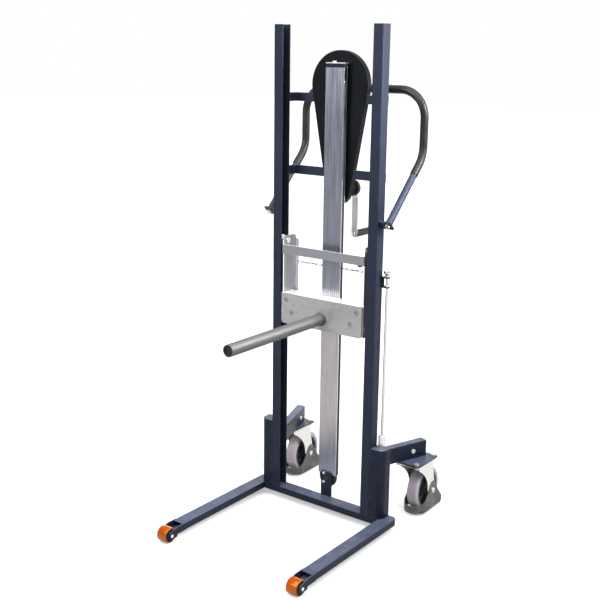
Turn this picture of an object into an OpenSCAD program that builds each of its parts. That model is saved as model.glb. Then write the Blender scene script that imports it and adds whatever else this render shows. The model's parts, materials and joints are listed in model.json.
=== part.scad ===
// Hand-cranked material lift with a ram, on two front rollers and two swivel casters.
// X runs to the right, Y to the rear and Z up. The origin lies on the floor, under the
// middle of the lift's outer box. Sizes are in millimetres.

/* [Masts and foot frame] */
// Height of the mast tops above the floor
overall_h = 1880; // [1830:1:1990]
// Clear width between the two masts
mast_gap = 395; // [380:1:420]
// Width of a mast across its front face
mast_w = 40; // [36:1:44]
// Depth of a mast from front to rear
mast_d = 47; // [45:1:49]
// Wall of the mast channels
mast_wall = 4; // [3:0.5:4]
// Width of a leg tube
leg_w = 56; // [52:1:64]
// Height of a leg tube
leg_h = 28; // [26:1:32]
// Height of the leg undersides above the floor
leg_z = 26; // [20:1:30]
// Reach of the leg tubes in front of the masts
leg_reach = 500; // [420:1:560]
// Depth of the cross member
cross_d = 57; // [56:1:60]
// Wall of the square and flat tubes
tube_wall = 3; // [2:0.5:3]
// Width of a post beside a mast
post_w = 56; // [50:1:60]
// Depth of a post
post_d = 54; // [52:1:56]
// Height of the post tops above the floor
post_top = 332; // [320:1:370]

/* [Front rollers] */
// Diameter of a front roller
roller_d = 60; // [54:1:62]
// Width of a front roller
roller_w = 45; // [36:1:45]
// Distance from a leg tube's end to its roller's axle
roller_ahead = 48; // [46:1:60]
// Diameter of a front roller's axle
roller_axle_d = 12; // [10:1:14]

/* [Casters] */
// Diameter of a caster wheel
wheel_d = 180; // [170:1:184]
// Width of a caster wheel
wheel_w = 46; // [40:1:50]
// Distance from the middle of the lift to a swivel axis
swivel_x = 303; // [300:1:316]
// Distance from the masts' front faces to the swivel axes
swivel_back = 232; // [232:1:260]
// Trail of a caster wheel behind its swivel axis
caster_trail = 64; // [55:1:64]
// Height of a caster from the floor to its mounting face
caster_h = 231; // [228:1:240]
// Length of a caster mounting plate
swivel_plate_l = 142; // [138:1:144]
// Width of a caster mounting plate
swivel_plate_w = 112; // [108:1:114]
// Splay of the caster arms, in degrees
arm_splay = 20; // [16:1:22]
// Width of a caster arm tube
arm_w = 36; // [32:1:38]
// Height of a caster arm tube
arm_h = 66; // [60:1:70]

/* [Column and drive] */
// Width of the column profile
column_w = 83; // [81:1:90]
// Depth of the column profile
column_d = 20; // [20:1:21]
// Drop from the mast tops to the top pulley's axis
drive_drop = 213; // [205:1:223]
// Rise of the column's top end over the top pulley's axis
column_rise = 62; // [60:1:68]
// Height of the crank's axis
crank_z = 1280; // [1260:1:1285]
// Height of the bottom pulley's axis
tail_z = 130; // [126:1:132]
// Radius at which the lifting belt's inner face runs
belt_r = 36; // [35:0.5:36]
// Radius of the big drive wheel
drive_wheel_r = 100; // [90:1:104]
// Radius of the crank's pinion
pinion_r = 30; // [24:1:36]
// Radius of the drive cover's big end
cover_r = 123.5; // [118:0.5:126]
// Radius of the drive cover's small end
cover_tip_r = 53; // [48:0.5:56]
// Length of the crank between its two axes
crank_len = 182; // [150:1:186]
// Length of the crank's grip
crank_grip_l = 100; // [90:1:110]

/* [Carriage] */
// Height of the load plate's lower edge at rest
load_z = 756; // [750:1:790]
// Height of the load plate
load_h = 121; // [110:1:130]
// Thickness of the load plate
load_t = 9.5; // [8:0.5:12]
// Height of the carriage's side plates
side_h = 341; // [330:1:350]
// Outer diameter of the ram
ram_d = 45; // [40:1:50]
// Length of the ram in front of the load plate
ram_l = 532; // [400:1:560]
// Diameter of a carriage guide roller
guide_d = 38.4; // [36:0.1:38.4]

/* [Handle and rod] */
// Diameter of the handlebar tube
bar_d = 26; // [24:1:27]
// Diameter over the handlebar's grip
bar_grip_d = 30.5; // [30:0.5:34]
// Distance from the middle of the lift to a handlebar leg
bar_x = 269; // [264:1:274]
// Height of the handlebar's top run
bar_top = 1652; // [1630:1:1670]
// Rise of the handlebar's top run over its lugs
bar_rise = 464; // [444:1:480]
// Distance from the masts' front faces to the handlebar's upright part
bar_back = 247; // [240:1:255]
// Diameter of the pull rod
rod_d = 11; // [10:0.5:12]
// Travel of the pull rod
rod_travel = 25; // [20:1:25]

/* [Hidden] */
$fn = 48;

// Clearances: a running fit on the radius, a hole over its bolt, and a free gap
run_gap = 0.05;
bolt_gap = 0.1;
free_gap = 0.3;
cut = 1;

// Stations along Y, counted from the masts' front faces at face_y
front_reach = leg_reach + roller_ahead + roller_d / 2;
rear_reach = swivel_back + caster_trail + wheel_d / 2;
face_y = (front_reach - rear_reach) / 2;
mast_rear_y = face_y + mast_d;
cross_rear_y = face_y + cross_d;
column_y = face_y + 56;
column_rear_y = column_y + column_d;
flange_t = 3;
belt_w = 11;
belt_t = 3;
belt_y = column_y + (column_d - belt_w) / 2;
cover_y = column_rear_y + 10;
cover_t = 2;
bar_t = 10;
crossbar_y = cover_y + cover_t;
chain_w = 5;
chain_y = crossbar_y + bar_t + 3;
cover_rear_y = chain_y + chain_w + 4.5;

// Stations along X, from the middle of the lift
mast_x = mast_gap / 2;
mast_out_x = mast_x + mast_w;
leg_x = mast_out_x + post_w - 18.5;
leg_mid_x = leg_x + leg_w / 2;
side_x = mast_x - 14.5;
side_t = 4;
side_out_x = side_x + side_t;

// Heights
drive_z = overall_h - drive_drop;
column_top = drive_z + column_rise;
leg_top = leg_z + leg_h;
plate_t = 5;
pad_z = caster_h;
weld = 0.5;
pad_top = pad_z + plate_t;
arm_z = pad_top - weld;
axle_z = wheel_d / 2;
roller_z = roller_d / 2;
side_top = load_z + side_h;
load_top = load_z + load_h;

// Box between a low and a high corner
module block(low, high) translate(low) cube(high - low);

// Round bars along each axis
module bar_along_x(r, x0, x1, y, z) translate([x0, y, z]) rotate([0, 90, 0]) cylinder(r = r, h = x1 - x0);
module bar_along_y(r, x, y0, y1, z) translate([x, y0, z]) rotate([-90, 0, 0]) cylinder(r = r, h = y1 - y0);
module bar_along_z(r, x, y, z0, z1) translate([x, y, z0]) cylinder(r = r, h = z1 - z0);

// Hexagon bars, given by their size across the flats
function hex_r(flats) = flats / 2 / cos(30);
module hex_along_x(flats, x0, x1, y, z)
    translate([x0, y, z]) rotate([0, 90, 0]) cylinder(r = hex_r(flats), h = x1 - x0, $fn = 6);
module hex_along_y(flats, x, y0, y1, z)
    translate([x, y0, z]) rotate([-90, 0, 0]) cylinder(r = hex_r(flats), h = y1 - y0, $fn = 6);
module hex_along_z(flats, x, y, z0, z1)
    translate([x, y, z0]) cylinder(r = hex_r(flats), h = z1 - z0, $fn = 6);

// Left-hand pieces are the right-hand ones mirrored
module on_side(side) mirror([side < 0 ? 1 : 0, 0, 0]) children();

// Rectangle with four round corners, about its middle
module rounded(w, h, r) {
    square([w - 2 * r, h], center = true);
    square([w, h - 2 * r], center = true);
    for (x = [-1, 1], y = [-1, 1])
        translate([x * (w / 2 - r), y * (h / 2 - r)]) circle(r);
}

// Rectangle from the origin with one round corner, at its high X and high Y
module one_round(w, h, r) {
    square([w - r, h]);
    square([w, h - r]);
    translate([w - r, h - r]) circle(r);
}

// Section of a rectangular tube
tube_corner = 4;
module tube_section(w, h, wall) {
    difference() {
        rounded(w, h, tube_corner);
        rounded(w - 2 * wall, h - 2 * wall, max(tube_corner - wall, 0.5));
    }
}

// Outline round a big circle at the top and a small one below it, with their tangents
arc_steps = 60;
function arc_points(r, y, from, to, steps) =
    [for (i = [0 : steps]) let(a = from + (to - from) * i / steps) [r * cos(a), y + r * sin(a)]];
module teardrop(r_big, r_small, drop) {
    lean = asin((r_big - r_small) / drop);
    polygon(concat(
        arc_points(r_big, 0, -lean, 180 + lean, arc_steps),
        arc_points(r_small, -drop, 180 + lean, 360 - lean, arc_steps / 2)
    ));
}

// Puts a flat outline drawn in X and Z upright, from y0 to y1
module upright(y0, y1, z) translate([0, y1, z]) rotate([90, 0, 0]) linear_extrude(y1 - y0) children();

// Puts a flat outline drawn in Y and Z on edge, from x0 to x1
module edgewise(x0, x1) translate([x0, 0, 0]) rotate([90, 0, 90]) linear_extrude(x1 - x0) children();

// Masts: channels open to the inside, each with a tilted lug for the handlebar
lug_y = face_y + 22;
lug_z = bar_top - bar_rise;
lug_t = 6;
lug_w = 40;
lug_out = 17;
bar_tilt = 45;
lug_bolt_d = 10;
module at_lug() translate([bar_x, lug_y, lug_z]) rotate([-bar_tilt, 0, 0]) children();
module mast(side) {
    color("#2b3040") on_side(side) difference() {
        union() {
            translate([mast_x, face_y, leg_top]) linear_extrude(overall_h - leg_top) difference() {
                translate([0, mast_d / 2]) intersection() {
                    translate([0, -mast_d / 2]) square([mast_w, mast_d]);
                    translate([mast_w / 2 - tube_corner, 0])
                        rounded(mast_w + 2 * tube_corner, mast_d, tube_corner);
                }
                translate([-cut, mast_wall]) square([mast_w - mast_wall + cut, mast_d - 2 * mast_wall]);
            }
            at_lug() translate([0, 0, -lug_t]) linear_extrude(lug_t) translate([mast_out_x - bar_x, 0])
                translate([(bar_x - mast_out_x + lug_out) / 2, 0])
                rounded(bar_x - mast_out_x + lug_out, lug_w, 2);
        }
        at_lug() translate([0, 0, -lug_t - cut])
            cylinder(d = lug_bolt_d + 2 * bolt_gap, h = lug_t + 2 * cut);
    }
}

// Cross member between the legs
module cross_member() {
    color("#2b3040") translate([-leg_x, face_y + cross_d / 2, leg_z + leg_h / 2])
        rotate([90, 0, 90]) linear_extrude(2 * leg_x) tube_section(cross_d, leg_h, tube_wall);
}

// Legs: tubes with a closed, round-cornered rear end and two cheeks round each roller
leg_end_y = face_y - leg_reach;
roller_y = leg_end_y - roller_ahead;
cheek_t = (leg_w - roller_w) / 2 - 1;
cheek_r = roller_d / 4;
leg_corner = 18;
cheek_back = 30;
foot_back = 30;
foot_corner = 8;
module cheek_outline() {
    polygon(concat(
        [for (p = arc_points(cheek_r, roller_z, 90, 270, 12)) p + [roller_y, 0]],
        [for (p = arc_points(foot_corner, roller_z - cheek_r + foot_corner, -90, 0, 6))
            p + [roller_y + foot_back - foot_corner, 0]],
        [[roller_y + foot_back, leg_z], [leg_end_y + cheek_back, leg_z],
         [leg_end_y + cheek_back, leg_top], [leg_end_y - 14, leg_top]]
    ));
}
module leg(side) {
    leg_l = cross_rear_y - leg_end_y;
    color("#2b3040") on_side(side) difference() {
        union() {
            intersection() {
                translate([leg_mid_x, cross_rear_y, leg_z + leg_h / 2]) rotate([90, 0, 0])
                    linear_extrude(leg_l) rounded(leg_w, leg_h, tube_corner);
                translate([leg_x, leg_end_y, leg_z]) linear_extrude(leg_h)
                    one_round(leg_w, leg_l, leg_corner);
            }
            for (x = [leg_x, leg_x + leg_w - cheek_t])
                edgewise(x, x + cheek_t) cheek_outline();
        }
        block([leg_x + cheek_t, leg_end_y - cut, leg_z + tube_wall],
              [leg_x + leg_w - cheek_t, cross_rear_y - leg_corner, leg_top - tube_wall]);
        block([leg_x + cheek_t, leg_end_y - cut, leg_z + tube_wall],
              [leg_x + leg_w - cheek_t, leg_end_y + 14, leg_top + cut]);
        bar_along_x(roller_axle_d / 2 + run_gap, leg_x - cut, leg_x + leg_w + cut, roller_y, roller_z);
    }
}

// Posts beside the masts: tubes closed on top, the right one bored for the pull rod
post_corner = 26;
rod_x = mast_out_x + 22.5;
rod_y = face_y + 43;
module posts() {
    for (side = [-1, 1])
        color("#2b3040") on_side(side) difference() {
            translate([mast_out_x, face_y + post_d, leg_top]) mirror([0, 1, 0])
                linear_extrude(post_top - leg_top) one_round(post_w, post_d, post_corner);
            translate([mast_out_x + tube_wall, face_y + post_d - tube_wall, leg_top - cut])
                mirror([0, 1, 0]) linear_extrude(post_top - leg_top - 4 + cut)
                one_round(post_w - 2 * tube_wall, post_d - 2 * tube_wall, post_corner - tube_wall);
            if (side > 0)
                bar_along_z(rod_d / 2 + run_gap, rod_x, rod_y, post_top - 5, post_top + cut);
        }
}

// Caster arms: splayed tubes behind the posts, each over a plate for its caster
arm_end_y = face_y + swivel_back + 50;
arm_end_x = swivel_x;
pad_w = swivel_plate_w + 4;
pad_l = swivel_plate_l + 9;
pad_corner = 8;
bolt_x = swivel_plate_w / 2 - 15;
bolt_y = swivel_plate_l / 2 - 8;
pad_bolt_d = 10;
arm_bolt_back = 65;
arm_bolt_d = 10;
arm_hole_back = 35;
arm_hole_d = 12;
cap_gap = 0.1;
arm_mid_z = arm_z + arm_h / 2;
module at_arm_end() translate([arm_end_x, arm_end_y, 0]) rotate([0, 0, -arm_splay]) children();
module pad_holes(d, z0, z1) {
    for (x = [-1, 1], y = [-1, 1])
        bar_along_z(d / 2, swivel_x + x * bolt_x, face_y + swivel_back + y * bolt_y, z0, z1);
}
module caster_arm(side) {
    arm_l = (arm_end_y - mast_rear_y) / cos(arm_splay) + arm_w;
    color("#2b3040") on_side(side) {
        difference() {
            at_arm_end() translate([0, 0, arm_mid_z]) rotate([90, 0, 0]) linear_extrude(arm_l)
                tube_section(arm_w, arm_h, tube_wall);
            block([mast_x - arm_l, face_y - arm_l, arm_z - cut],
                  [mast_out_x + arm_l, mast_rear_y, arm_z + arm_h + cut]);
            block([mast_out_x, face_y, arm_z - cut],
                  [mast_out_x + post_w, face_y + post_d, arm_z + arm_h + cut]);
            at_arm_end() bar_along_x(arm_bolt_d / 2 + bolt_gap, -arm_w, arm_w, -arm_bolt_back, arm_mid_z);
            at_arm_end() bar_along_x(arm_hole_d / 2, 0, arm_w, -arm_hole_back, arm_z + 14);
        }
        difference() {
            translate([swivel_x, face_y + swivel_back, pad_z]) linear_extrude(plate_t)
                rounded(pad_w, pad_l, pad_corner);
            pad_holes(pad_bolt_d + 2 * bolt_gap, pad_z - cut, pad_z + plate_t + cut);
        }
    }
}
module arm_end_caps() {
    for (side = [-1, 1])
        color("#15161a") on_side(side) at_arm_end() translate([0, 0, arm_mid_z]) {
            translate([0, 3, 0]) rotate([90, 0, 0]) linear_extrude(3)
                rounded(arm_w, arm_h - 2 * weld - 2 * cap_gap, tube_corner);
            rotate([90, 0, 0]) linear_extrude(12)
                rounded(arm_w - 2 * tube_wall, arm_h - 2 * tube_wall, 1);
        }
}

// Crossbars: flat bars behind the cover's front, with ends bent forward onto the masts
bar_end = 12.5;
upper_bar_drop = 65;
upper_bar_z = drive_z - upper_bar_drop;
upper_bar_h = 32;
lower_bar_lift = 47;
lower_bar_z = crank_z + lower_bar_lift;
lower_bar_h = 34;
module crossbar_plan() {
    half = mast_x + bar_end;
    depth = crossbar_y + bar_t - mast_rear_y;
    for (side = [0, 1]) mirror([side, 0]) translate([0, mast_rear_y]) difference() {
        one_round(half, depth, bar_t);
        translate([-cut, -cut]) square([mast_x + 0.5 + cut, depth - bar_t + cut]);
    }
}
module crossbars() {
    color("#2b3040") translate([0, 0, upper_bar_z]) linear_extrude(upper_bar_h) crossbar_plan();
    color("#2b3040") translate([0, 0, lower_bar_z]) linear_extrude(lower_bar_h) crossbar_plan();
}

// Column: an extruded profile with a belt run along each side
column_z = 145;
column_mid_y = column_y + column_d / 2;
web_out = belt_r - 5;
web_t = 3;
window = 10;
shaft_d = 20;
module column_section() {
    translate([-column_w / 2, 0]) square([column_w, flange_t]);
    translate([-column_w / 2, column_d - flange_t]) square([column_w, flange_t]);
    for (x = [-web_out, web_out - web_t])
        translate([x, 0]) square([web_t, column_d]);
}
module column() {
    color("#a9adb5") difference() {
        translate([0, column_y, column_z]) linear_extrude(column_top - column_z) column_section();
        block([-column_w, column_y + flange_t, drive_z - belt_r - belt_t - window],
              [column_w, column_rear_y - flange_t, column_top + cut]);
        block([-column_w, column_y + flange_t, column_z - cut],
              [column_w, column_rear_y - flange_t, tail_z + belt_r + belt_t + window]);
        bar_along_y(shaft_d / 2 + run_gap, 0, column_rear_y - flange_t - cut, column_rear_y + cut, drive_z);
        bracket_bore(column_y - cut, column_y + flange_t + cut, upper_bolt_z);
    }
}

// Cap on the column, under a strap that reaches back to the cover
cap_h = 14;
cap_top = column_top + cap_h;
strap_t = 4;
strap_top = cap_top + strap_t;
cap_bolt_d = 8;
cap_bolt_x = -column_w / 8;
module cap_bore(z0, z1) bar_along_z(cap_bolt_d / 2 + bolt_gap, cap_bolt_x, column_mid_y, z0, z1);
module column_cap() {
    color("#2b3040") difference() {
        block([-column_w / 2, column_y, column_top], [column_w / 2, column_rear_y, cap_top]);
        cap_bore(column_top + 2, cap_top + cut);
    }
}
module cap_strap() {
    color("#b9bcc0") difference() {
        block([-column_w / 2, column_y, cap_top], [column_w / 2, cover_y, strap_top]);
        cap_bore(cap_top - cut, strap_top + cut);
    }
}

// Foot bracket that carries the column and the bottom pulley
bracket_w = 50;
bracket_t = 6;
bracket_top = column_z + 12;
bracket_corner = 18;
bracket_bolt_d = 6;
bracket_bolt_x = -10;
upper_bolt_z = column_z + 5;
lower_bolt_z = tail_z - 17;
pin_d = 16;
pin_head_d = 24;
module bracket_bore(y0, y1, z) bar_along_y(bracket_bolt_d / 2 + bolt_gap, bracket_bolt_x, y0, y1, z);
module foot_bracket() {
    color("#2b3040") difference() {
        upright(column_y - bracket_t, column_y, leg_top)
            translate([-bracket_w / 2, 0]) one_round(bracket_w, bracket_top - leg_top, bracket_corner);
        bar_along_y(pin_d / 2, 0, column_y - bracket_t - cut, column_y + cut, tail_z);
        for (z = [upper_bolt_z, lower_bolt_z])
            bracket_bore(column_y - bracket_t - cut, column_y + cut, z);
    }
}
module pulley_pin() {
    head_y = belt_y + belt_w + 0.5 + free_gap;
    color("#3a3c40") {
        bar_along_y(pin_d / 2, 0, column_y - bracket_t, head_y + 4, tail_z);
        bar_along_y(pin_head_d / 2, 0, head_y, head_y + 4, tail_z);
        bar_along_y(pin_head_d / 2, 0, column_y, belt_y - 0.5 - free_gap, tail_z);
    }
}

// Belt pulleys; the top one is made in one piece with its shaft
module pulley_disc(z) {
    bar_along_y(belt_r - free_gap, 0, belt_y - 0.5, belt_y + belt_w + 0.5, z);
}
shaft_end_y = cover_rear_y + 8;
module top_pulley() {
    color("#8d9197") {
        pulley_disc(drive_z);
        bar_along_y(shaft_d / 2, 0, belt_y, shaft_end_y, drive_z);
    }
}
module bottom_pulley() {
    color("#26272a") difference() {
        pulley_disc(tail_z);
        bar_along_y(pin_d / 2 + run_gap, 0, belt_y - 1, belt_y + belt_w + 1, tail_z);
    }
}

// Lifting belt: one loop round both pulleys
module belt_loop(r) {
    circle(r);
    translate([0, tail_z - drive_z]) circle(r);
    translate([-r, tail_z - drive_z]) square([2 * r, drive_z - tail_z]);
}
module lifting_belt() {
    color("#17181a") upright(belt_y, belt_y + belt_w, drive_z) difference() {
        belt_loop(belt_r + belt_t);
        belt_loop(belt_r);
    }
}

// Drive cover: a flat front and a shell behind it, notched for the crossbars
drop = drive_z - crank_z;
module bar_notch(z, h) {
    block([-cover_r - cut, crossbar_y - cut, z - free_gap],
          [cover_r + cut, crossbar_y + bar_t + free_gap, z + h + free_gap]);
}
module cover_front() {
    color("#1a1b1e") difference() {
        upright(cover_y, cover_y + cover_t, drive_z) teardrop(cover_r, cover_tip_r, drop);
        bar_along_y(shaft_d / 2 + 1, 0, cover_y - cut, cover_y + cover_t + cut, drive_z);
    }
}
module cover_rear() {
    color("#1a1b1e") difference() {
        upright(crossbar_y, cover_rear_y, drive_z) teardrop(cover_r, cover_tip_r, drop);
        upright(crossbar_y - cut, cover_rear_y - cover_t, drive_z)
            teardrop(cover_r - cover_t, cover_tip_r - cover_t, drop);
        bar_notch(upper_bar_z, upper_bar_h);
        bar_notch(lower_bar_z, lower_bar_h);
        for (z = [drive_z, crank_z])
            bar_along_y(shaft_d / 2 + 1, 0, cover_rear_y - cover_t - cut, cover_rear_y + cut, z);
    }
}

// Bearings on the cover's back for the top shaft and the crank
bearing_end_y = cover_rear_y + 13.5;
module shaft_bearings() {
    color("#3a3c40") difference() {
        union() {
            bar_along_y(22, 0, cover_rear_y, shaft_end_y, drive_z);
            bar_along_y(30, 0, cover_rear_y, cover_rear_y + 5, crank_z);
            bar_along_y(21, 0, cover_rear_y, bearing_end_y, crank_z);
        }
        for (z = [drive_z, crank_z])
            bar_along_y(shaft_d / 2 + run_gap, 0, cover_rear_y - cut, bearing_end_y + cut, z);
    }
}

// Drive wheel and chain inside the cover
wheel_holes = 6;
chain_t = 4;
module drive_wheel() {
    color("#8d9197") difference() {
        union() {
            bar_along_y(drive_wheel_r, 0, chain_y, chain_y + chain_w, drive_z);
            bar_along_y(shaft_d, 0, chain_y - 1.5, chain_y + chain_w + 1.5, drive_z);
        }
        bar_along_y(shaft_d / 2, 0, chain_y - 5, chain_y + chain_w + 5, drive_z);
        for (i = [0 : wheel_holes - 1])
            translate([0, 0, drive_z]) rotate([0, i * 360 / wheel_holes, 0])
                bar_along_y(drive_wheel_r * 0.2, drive_wheel_r * 0.6, chain_y - cut,
                            chain_y + chain_w + cut, 0);
    }
}
module drive_chain() {
    color("#3f4145") upright(chain_y, chain_y + chain_w, drive_z) difference() {
        teardrop(drive_wheel_r + free_gap + chain_t, pinion_r + free_gap + chain_t, drop);
        teardrop(drive_wheel_r + free_gap, pinion_r + free_gap, drop);
    }
}

// Crank: shaft with pinion, brake disc, joggled arm and a loose grip
disc_y = cover_rear_y + 75.5;
disc_t = 12;
disc_r = 31;
arm_t = 6;
arm_y = disc_y + disc_t;
joggle = 8;
crank_w = 25;
stub_d = 16;
nut_t = 8;
nut_flats = 24;
arm_straight = 28;
joggle_l = 14;
joggle_lead = 2;
grip_y = arm_y + joggle + arm_t + free_gap;
grip_z = crank_z - crank_len;
grip_pin_d = 10;
grip_d = 28;
module crank_shaft() {
    color("#b9bcc0") {
        bar_along_y(shaft_d / 2, 0, crossbar_y + 2, disc_y, crank_z);
        bar_along_y(pinion_r, 0, chain_y, chain_y + chain_w, crank_z);
        bar_along_y(14.5, 0, bearing_end_y + free_gap, disc_y, crank_z);
        bar_along_y(stub_d / 2, 0, disc_y, arm_y + arm_t + nut_t, crank_z);
    }
}
module brake_disc() {
    color("#3a3c40") difference() {
        bar_along_y(disc_r, 0, disc_y, disc_y + disc_t, crank_z);
        bar_along_y(stub_d / 2, 0, disc_y - cut, disc_y + disc_t + cut, crank_z);
    }
}
module crank_arm() {
    color("#b9bcc0") difference() {
        intersection() {
            edgewise(-crank_w, crank_w) polygon([
                [arm_y, crank_z + crank_w],
                [arm_y, crank_z - arm_straight],
                [arm_y + joggle, crank_z - arm_straight - joggle_l],
                [arm_y + joggle, grip_z - crank_w],
                [arm_y + joggle + arm_t, grip_z - crank_w],
                [arm_y + joggle + arm_t, crank_z - arm_straight - joggle_l + joggle_lead],
                [arm_y + arm_t, crank_z - arm_straight + joggle_lead],
                [arm_y + arm_t, crank_z + crank_w]
            ]);
            upright(arm_y - cut, arm_y + joggle + arm_t + cut, crank_z) {
                circle(crank_w * 0.6);
                translate([-crank_w / 2, -crank_len]) square([crank_w, crank_len]);
                translate([0, -crank_len]) circle(crank_w / 2);
            }
        }
        bar_along_y(stub_d / 2, 0, arm_y - cut, arm_y + arm_t + cut, crank_z);
        bar_along_y(grip_pin_d / 2, 0, arm_y, arm_y + joggle + arm_t + cut, grip_z);
    }
}
module crank_fasteners() {
    color("#c9ccd0") difference() {
        hex_along_y(nut_flats, 0, arm_y + arm_t, arm_y + arm_t + nut_t, crank_z);
        bar_along_y(stub_d / 2, 0, arm_y, arm_y + arm_t + nut_t + cut, crank_z);
    }
    color("#2a2b2d") {
        bar_along_y(6, 0, arm_y + joggle - 3, arm_y + joggle, grip_z);
        bar_along_y(grip_pin_d / 2, 0, arm_y + joggle, grip_y + crank_grip_l - 12, grip_z);
    }
}
module crank_grip() {
    color("#1c1c1e") translate([0, grip_y, grip_z]) rotate([-90, 0, 0]) difference() {
        rotate_extrude() {
            square([grip_d / 2 - 3, crank_grip_l]);
            translate([0, 3]) square([grip_d / 2, crank_grip_l - 6]);
            for (h = [3, crank_grip_l - 3]) translate([grip_d / 2 - 3, h]) circle(3);
        }
        translate([0, 0, -cut])
            cylinder(d = grip_pin_d + 2 * run_gap, h = crank_grip_l - 12 + free_gap + cut);
    }
}

// Handlebar: one bent tube with a grip over its upper part
bend_r = 100;
bar_y = face_y + bar_back;
bend_cut = bend_r * tan(bar_tilt / 2);
slope_l = (bar_y - lug_y) / sin(bar_tilt) - bend_cut;
knee_z = lug_z + (bar_y - lug_y) / tan(bar_tilt) + bend_cut;
grip_from = 230;
// Straight runs reach a little over the bends' ends and lap them by a hair
bend_lap = 1;
lap = 0.05;
module ring(r, bore) difference() {
    circle(r);
    circle(bore);
}
module bar_path(r, bore, from) {
    straight_r = r + lap;
    straight_bore = bore - lap;
    for (side = [-1, 1]) on_side(side) {
        at_lug() translate([0, 0, from]) linear_extrude(slope_l - from + bend_lap)
            ring(straight_r, straight_bore);
        translate([bar_x, bar_y - bend_r, knee_z]) rotate([90, 0, 90]) rotate([0, 0, -bar_tilt])
            rotate_extrude(angle = bar_tilt) translate([bend_r, 0]) ring(r, bore);
        translate([bar_x, bar_y, knee_z - bend_lap])
            linear_extrude(bar_top - bend_r - knee_z + 2 * bend_lap) ring(straight_r, straight_bore);
        translate([bar_x - bend_r, bar_y, bar_top - bend_r]) rotate([90, 0, 0])
            rotate_extrude(angle = 90) translate([bend_r, 0]) ring(r, bore);
    }
    translate([-bar_x + bend_r - bend_lap, bar_y, bar_top]) rotate([90, 0, 90])
        linear_extrude(2 * (bar_x - bend_r + bend_lap)) ring(straight_r, straight_bore);
}
bar_wall = 2.5;
plug_l = 20;
collar_at = 52;
module handlebar() {
    color("#3a4152") {
        bar_path(bar_d / 2, bar_d / 2 - bar_wall, plug_l);
        for (side = [-1, 1]) on_side(side) at_lug() {
            difference() {
                cylinder(d = bar_d, h = plug_l + bend_lap);
                translate([0, 0, -cut])
                    cylinder(d = lug_bolt_d + 2 * bolt_gap, h = plug_l + bend_lap + 2 * cut);
            }
            translate([0, 0, collar_at]) linear_extrude(6) ring(bar_d / 2 + 0.8, bar_d / 2 - 1);
        }
    }
}
module handle_grip() {
    color("#1c1c1e") bar_path(bar_grip_d / 2, bar_d / 2 + 3 * lap, grip_from);
}

// Pull rod beside the right mast, with its keeper
keeper_lift = 620;
rod_foot = 90;
keeper_z = post_top + keeper_lift;
keeper_t = 4;
keeper_h = 40;
rod_head_z = keeper_z + keeper_h;
module rod_keeper() {
    color("#23262f") difference() {
        union() {
            for (z = [keeper_z, keeper_z + keeper_h - keeper_t]) {
                block([mast_out_x, rod_y - 10, z], [rod_x, rod_y + 10, z + keeper_t]);
                bar_along_z(10, rod_x, rod_y, z, z + keeper_t);
            }
            block([mast_out_x, rod_y - 10, keeper_z], [mast_out_x + keeper_t, rod_y + 10, rod_head_z]);
        }
        bar_along_z(rod_d / 2 + run_gap, rod_x, rod_y, keeper_z - cut, rod_head_z + cut);
    }
}
ferrule_w = 20;
ferrule_h = 47;
knob_h = 24;
module pull_rod() {
    collar_z = keeper_z + keeper_t + free_gap;
    collar_h = keeper_h - 2 * keeper_t - rod_travel - 2 * free_gap;
    color("#c3c6ca") {
        bar_along_z(rod_d / 2, rod_x, rod_y, post_top - rod_foot, rod_head_z + knob_h);
        block([rod_x - ferrule_w / 2, rod_y - ferrule_w / 2, post_top + free_gap],
              [rod_x + ferrule_w / 2, rod_y + ferrule_w / 2, post_top + ferrule_h]);
        bar_along_z(rod_d / 2 + 3, rod_x, rod_y, collar_z, collar_z + collar_h);
        translate([rod_x, rod_y, rod_head_z + free_gap]) rotate_extrude() polygon([
            [0, 0], [8, 0], [8, 7], [15, 15], [15, knob_h], [0, knob_h]
        ]);
    }
}

// Load plate with countersunk screws, and the ram with its weld and end plug
load_x = mast_x - 11.5;
load_corner = 12;
screw_d = 10;
screw_head_d = 20;
screw_spots = [[load_x - 23, load_top - 26], [load_x - 50, load_top - 74]];
ram_z = load_z + 44;
ram_wall = 3;
ram_end_y = face_y - load_t - ram_l;
module screw_shape(x, z, gap) {
    bar_along_y(screw_d / 2 + gap, x, face_y - load_t, face_y + side_t + (gap > 0 ? cut : 0), z);
    translate([x, face_y - load_t, z]) rotate([-90, 0, 0])
        cylinder(r1 = screw_head_d / 2 + gap, r2 = screw_d / 2 + gap, h = 5);
}
module load_plate() {
    color("#9b9c9a") difference() {
        translate([0, face_y, load_z]) rotate([90, 0, 0]) linear_extrude(load_t) {
            translate([-load_x, load_corner]) square([2 * load_x, load_h - load_corner]);
            translate([-load_x + load_corner, 0]) square([2 * (load_x - load_corner), load_corner]);
            for (side = [-1, 1])
                translate([side * (load_x - load_corner), load_corner]) circle(load_corner);
        }
        for (side = [-1, 1], spot = screw_spots)
            screw_shape(side * spot[0], spot[1], bolt_gap);
    }
}
module plate_screws() {
    for (side = [-1, 1], spot = screw_spots)
        color("#8c8e90") difference() {
            screw_shape(side * spot[0], spot[1], 0);
            hex_along_y(6, side * spot[0], face_y - load_t - cut, face_y - load_t + 4, spot[1]);
        }
}
module ram_tube() {
    color("#9b9c9a") difference() {
        union() {
            bar_along_y(ram_d / 2, 0, ram_end_y, face_y - load_t, ram_z);
            translate([0, face_y - load_t - 3, ram_z]) rotate([-90, 0, 0])
                cylinder(r1 = ram_d / 2, r2 = ram_d / 2 + 3, h = 3);
        }
        bar_along_y(ram_d / 2 - ram_wall, 0, ram_end_y - cut, face_y - load_t - 4, ram_z);
    }
}
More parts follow.
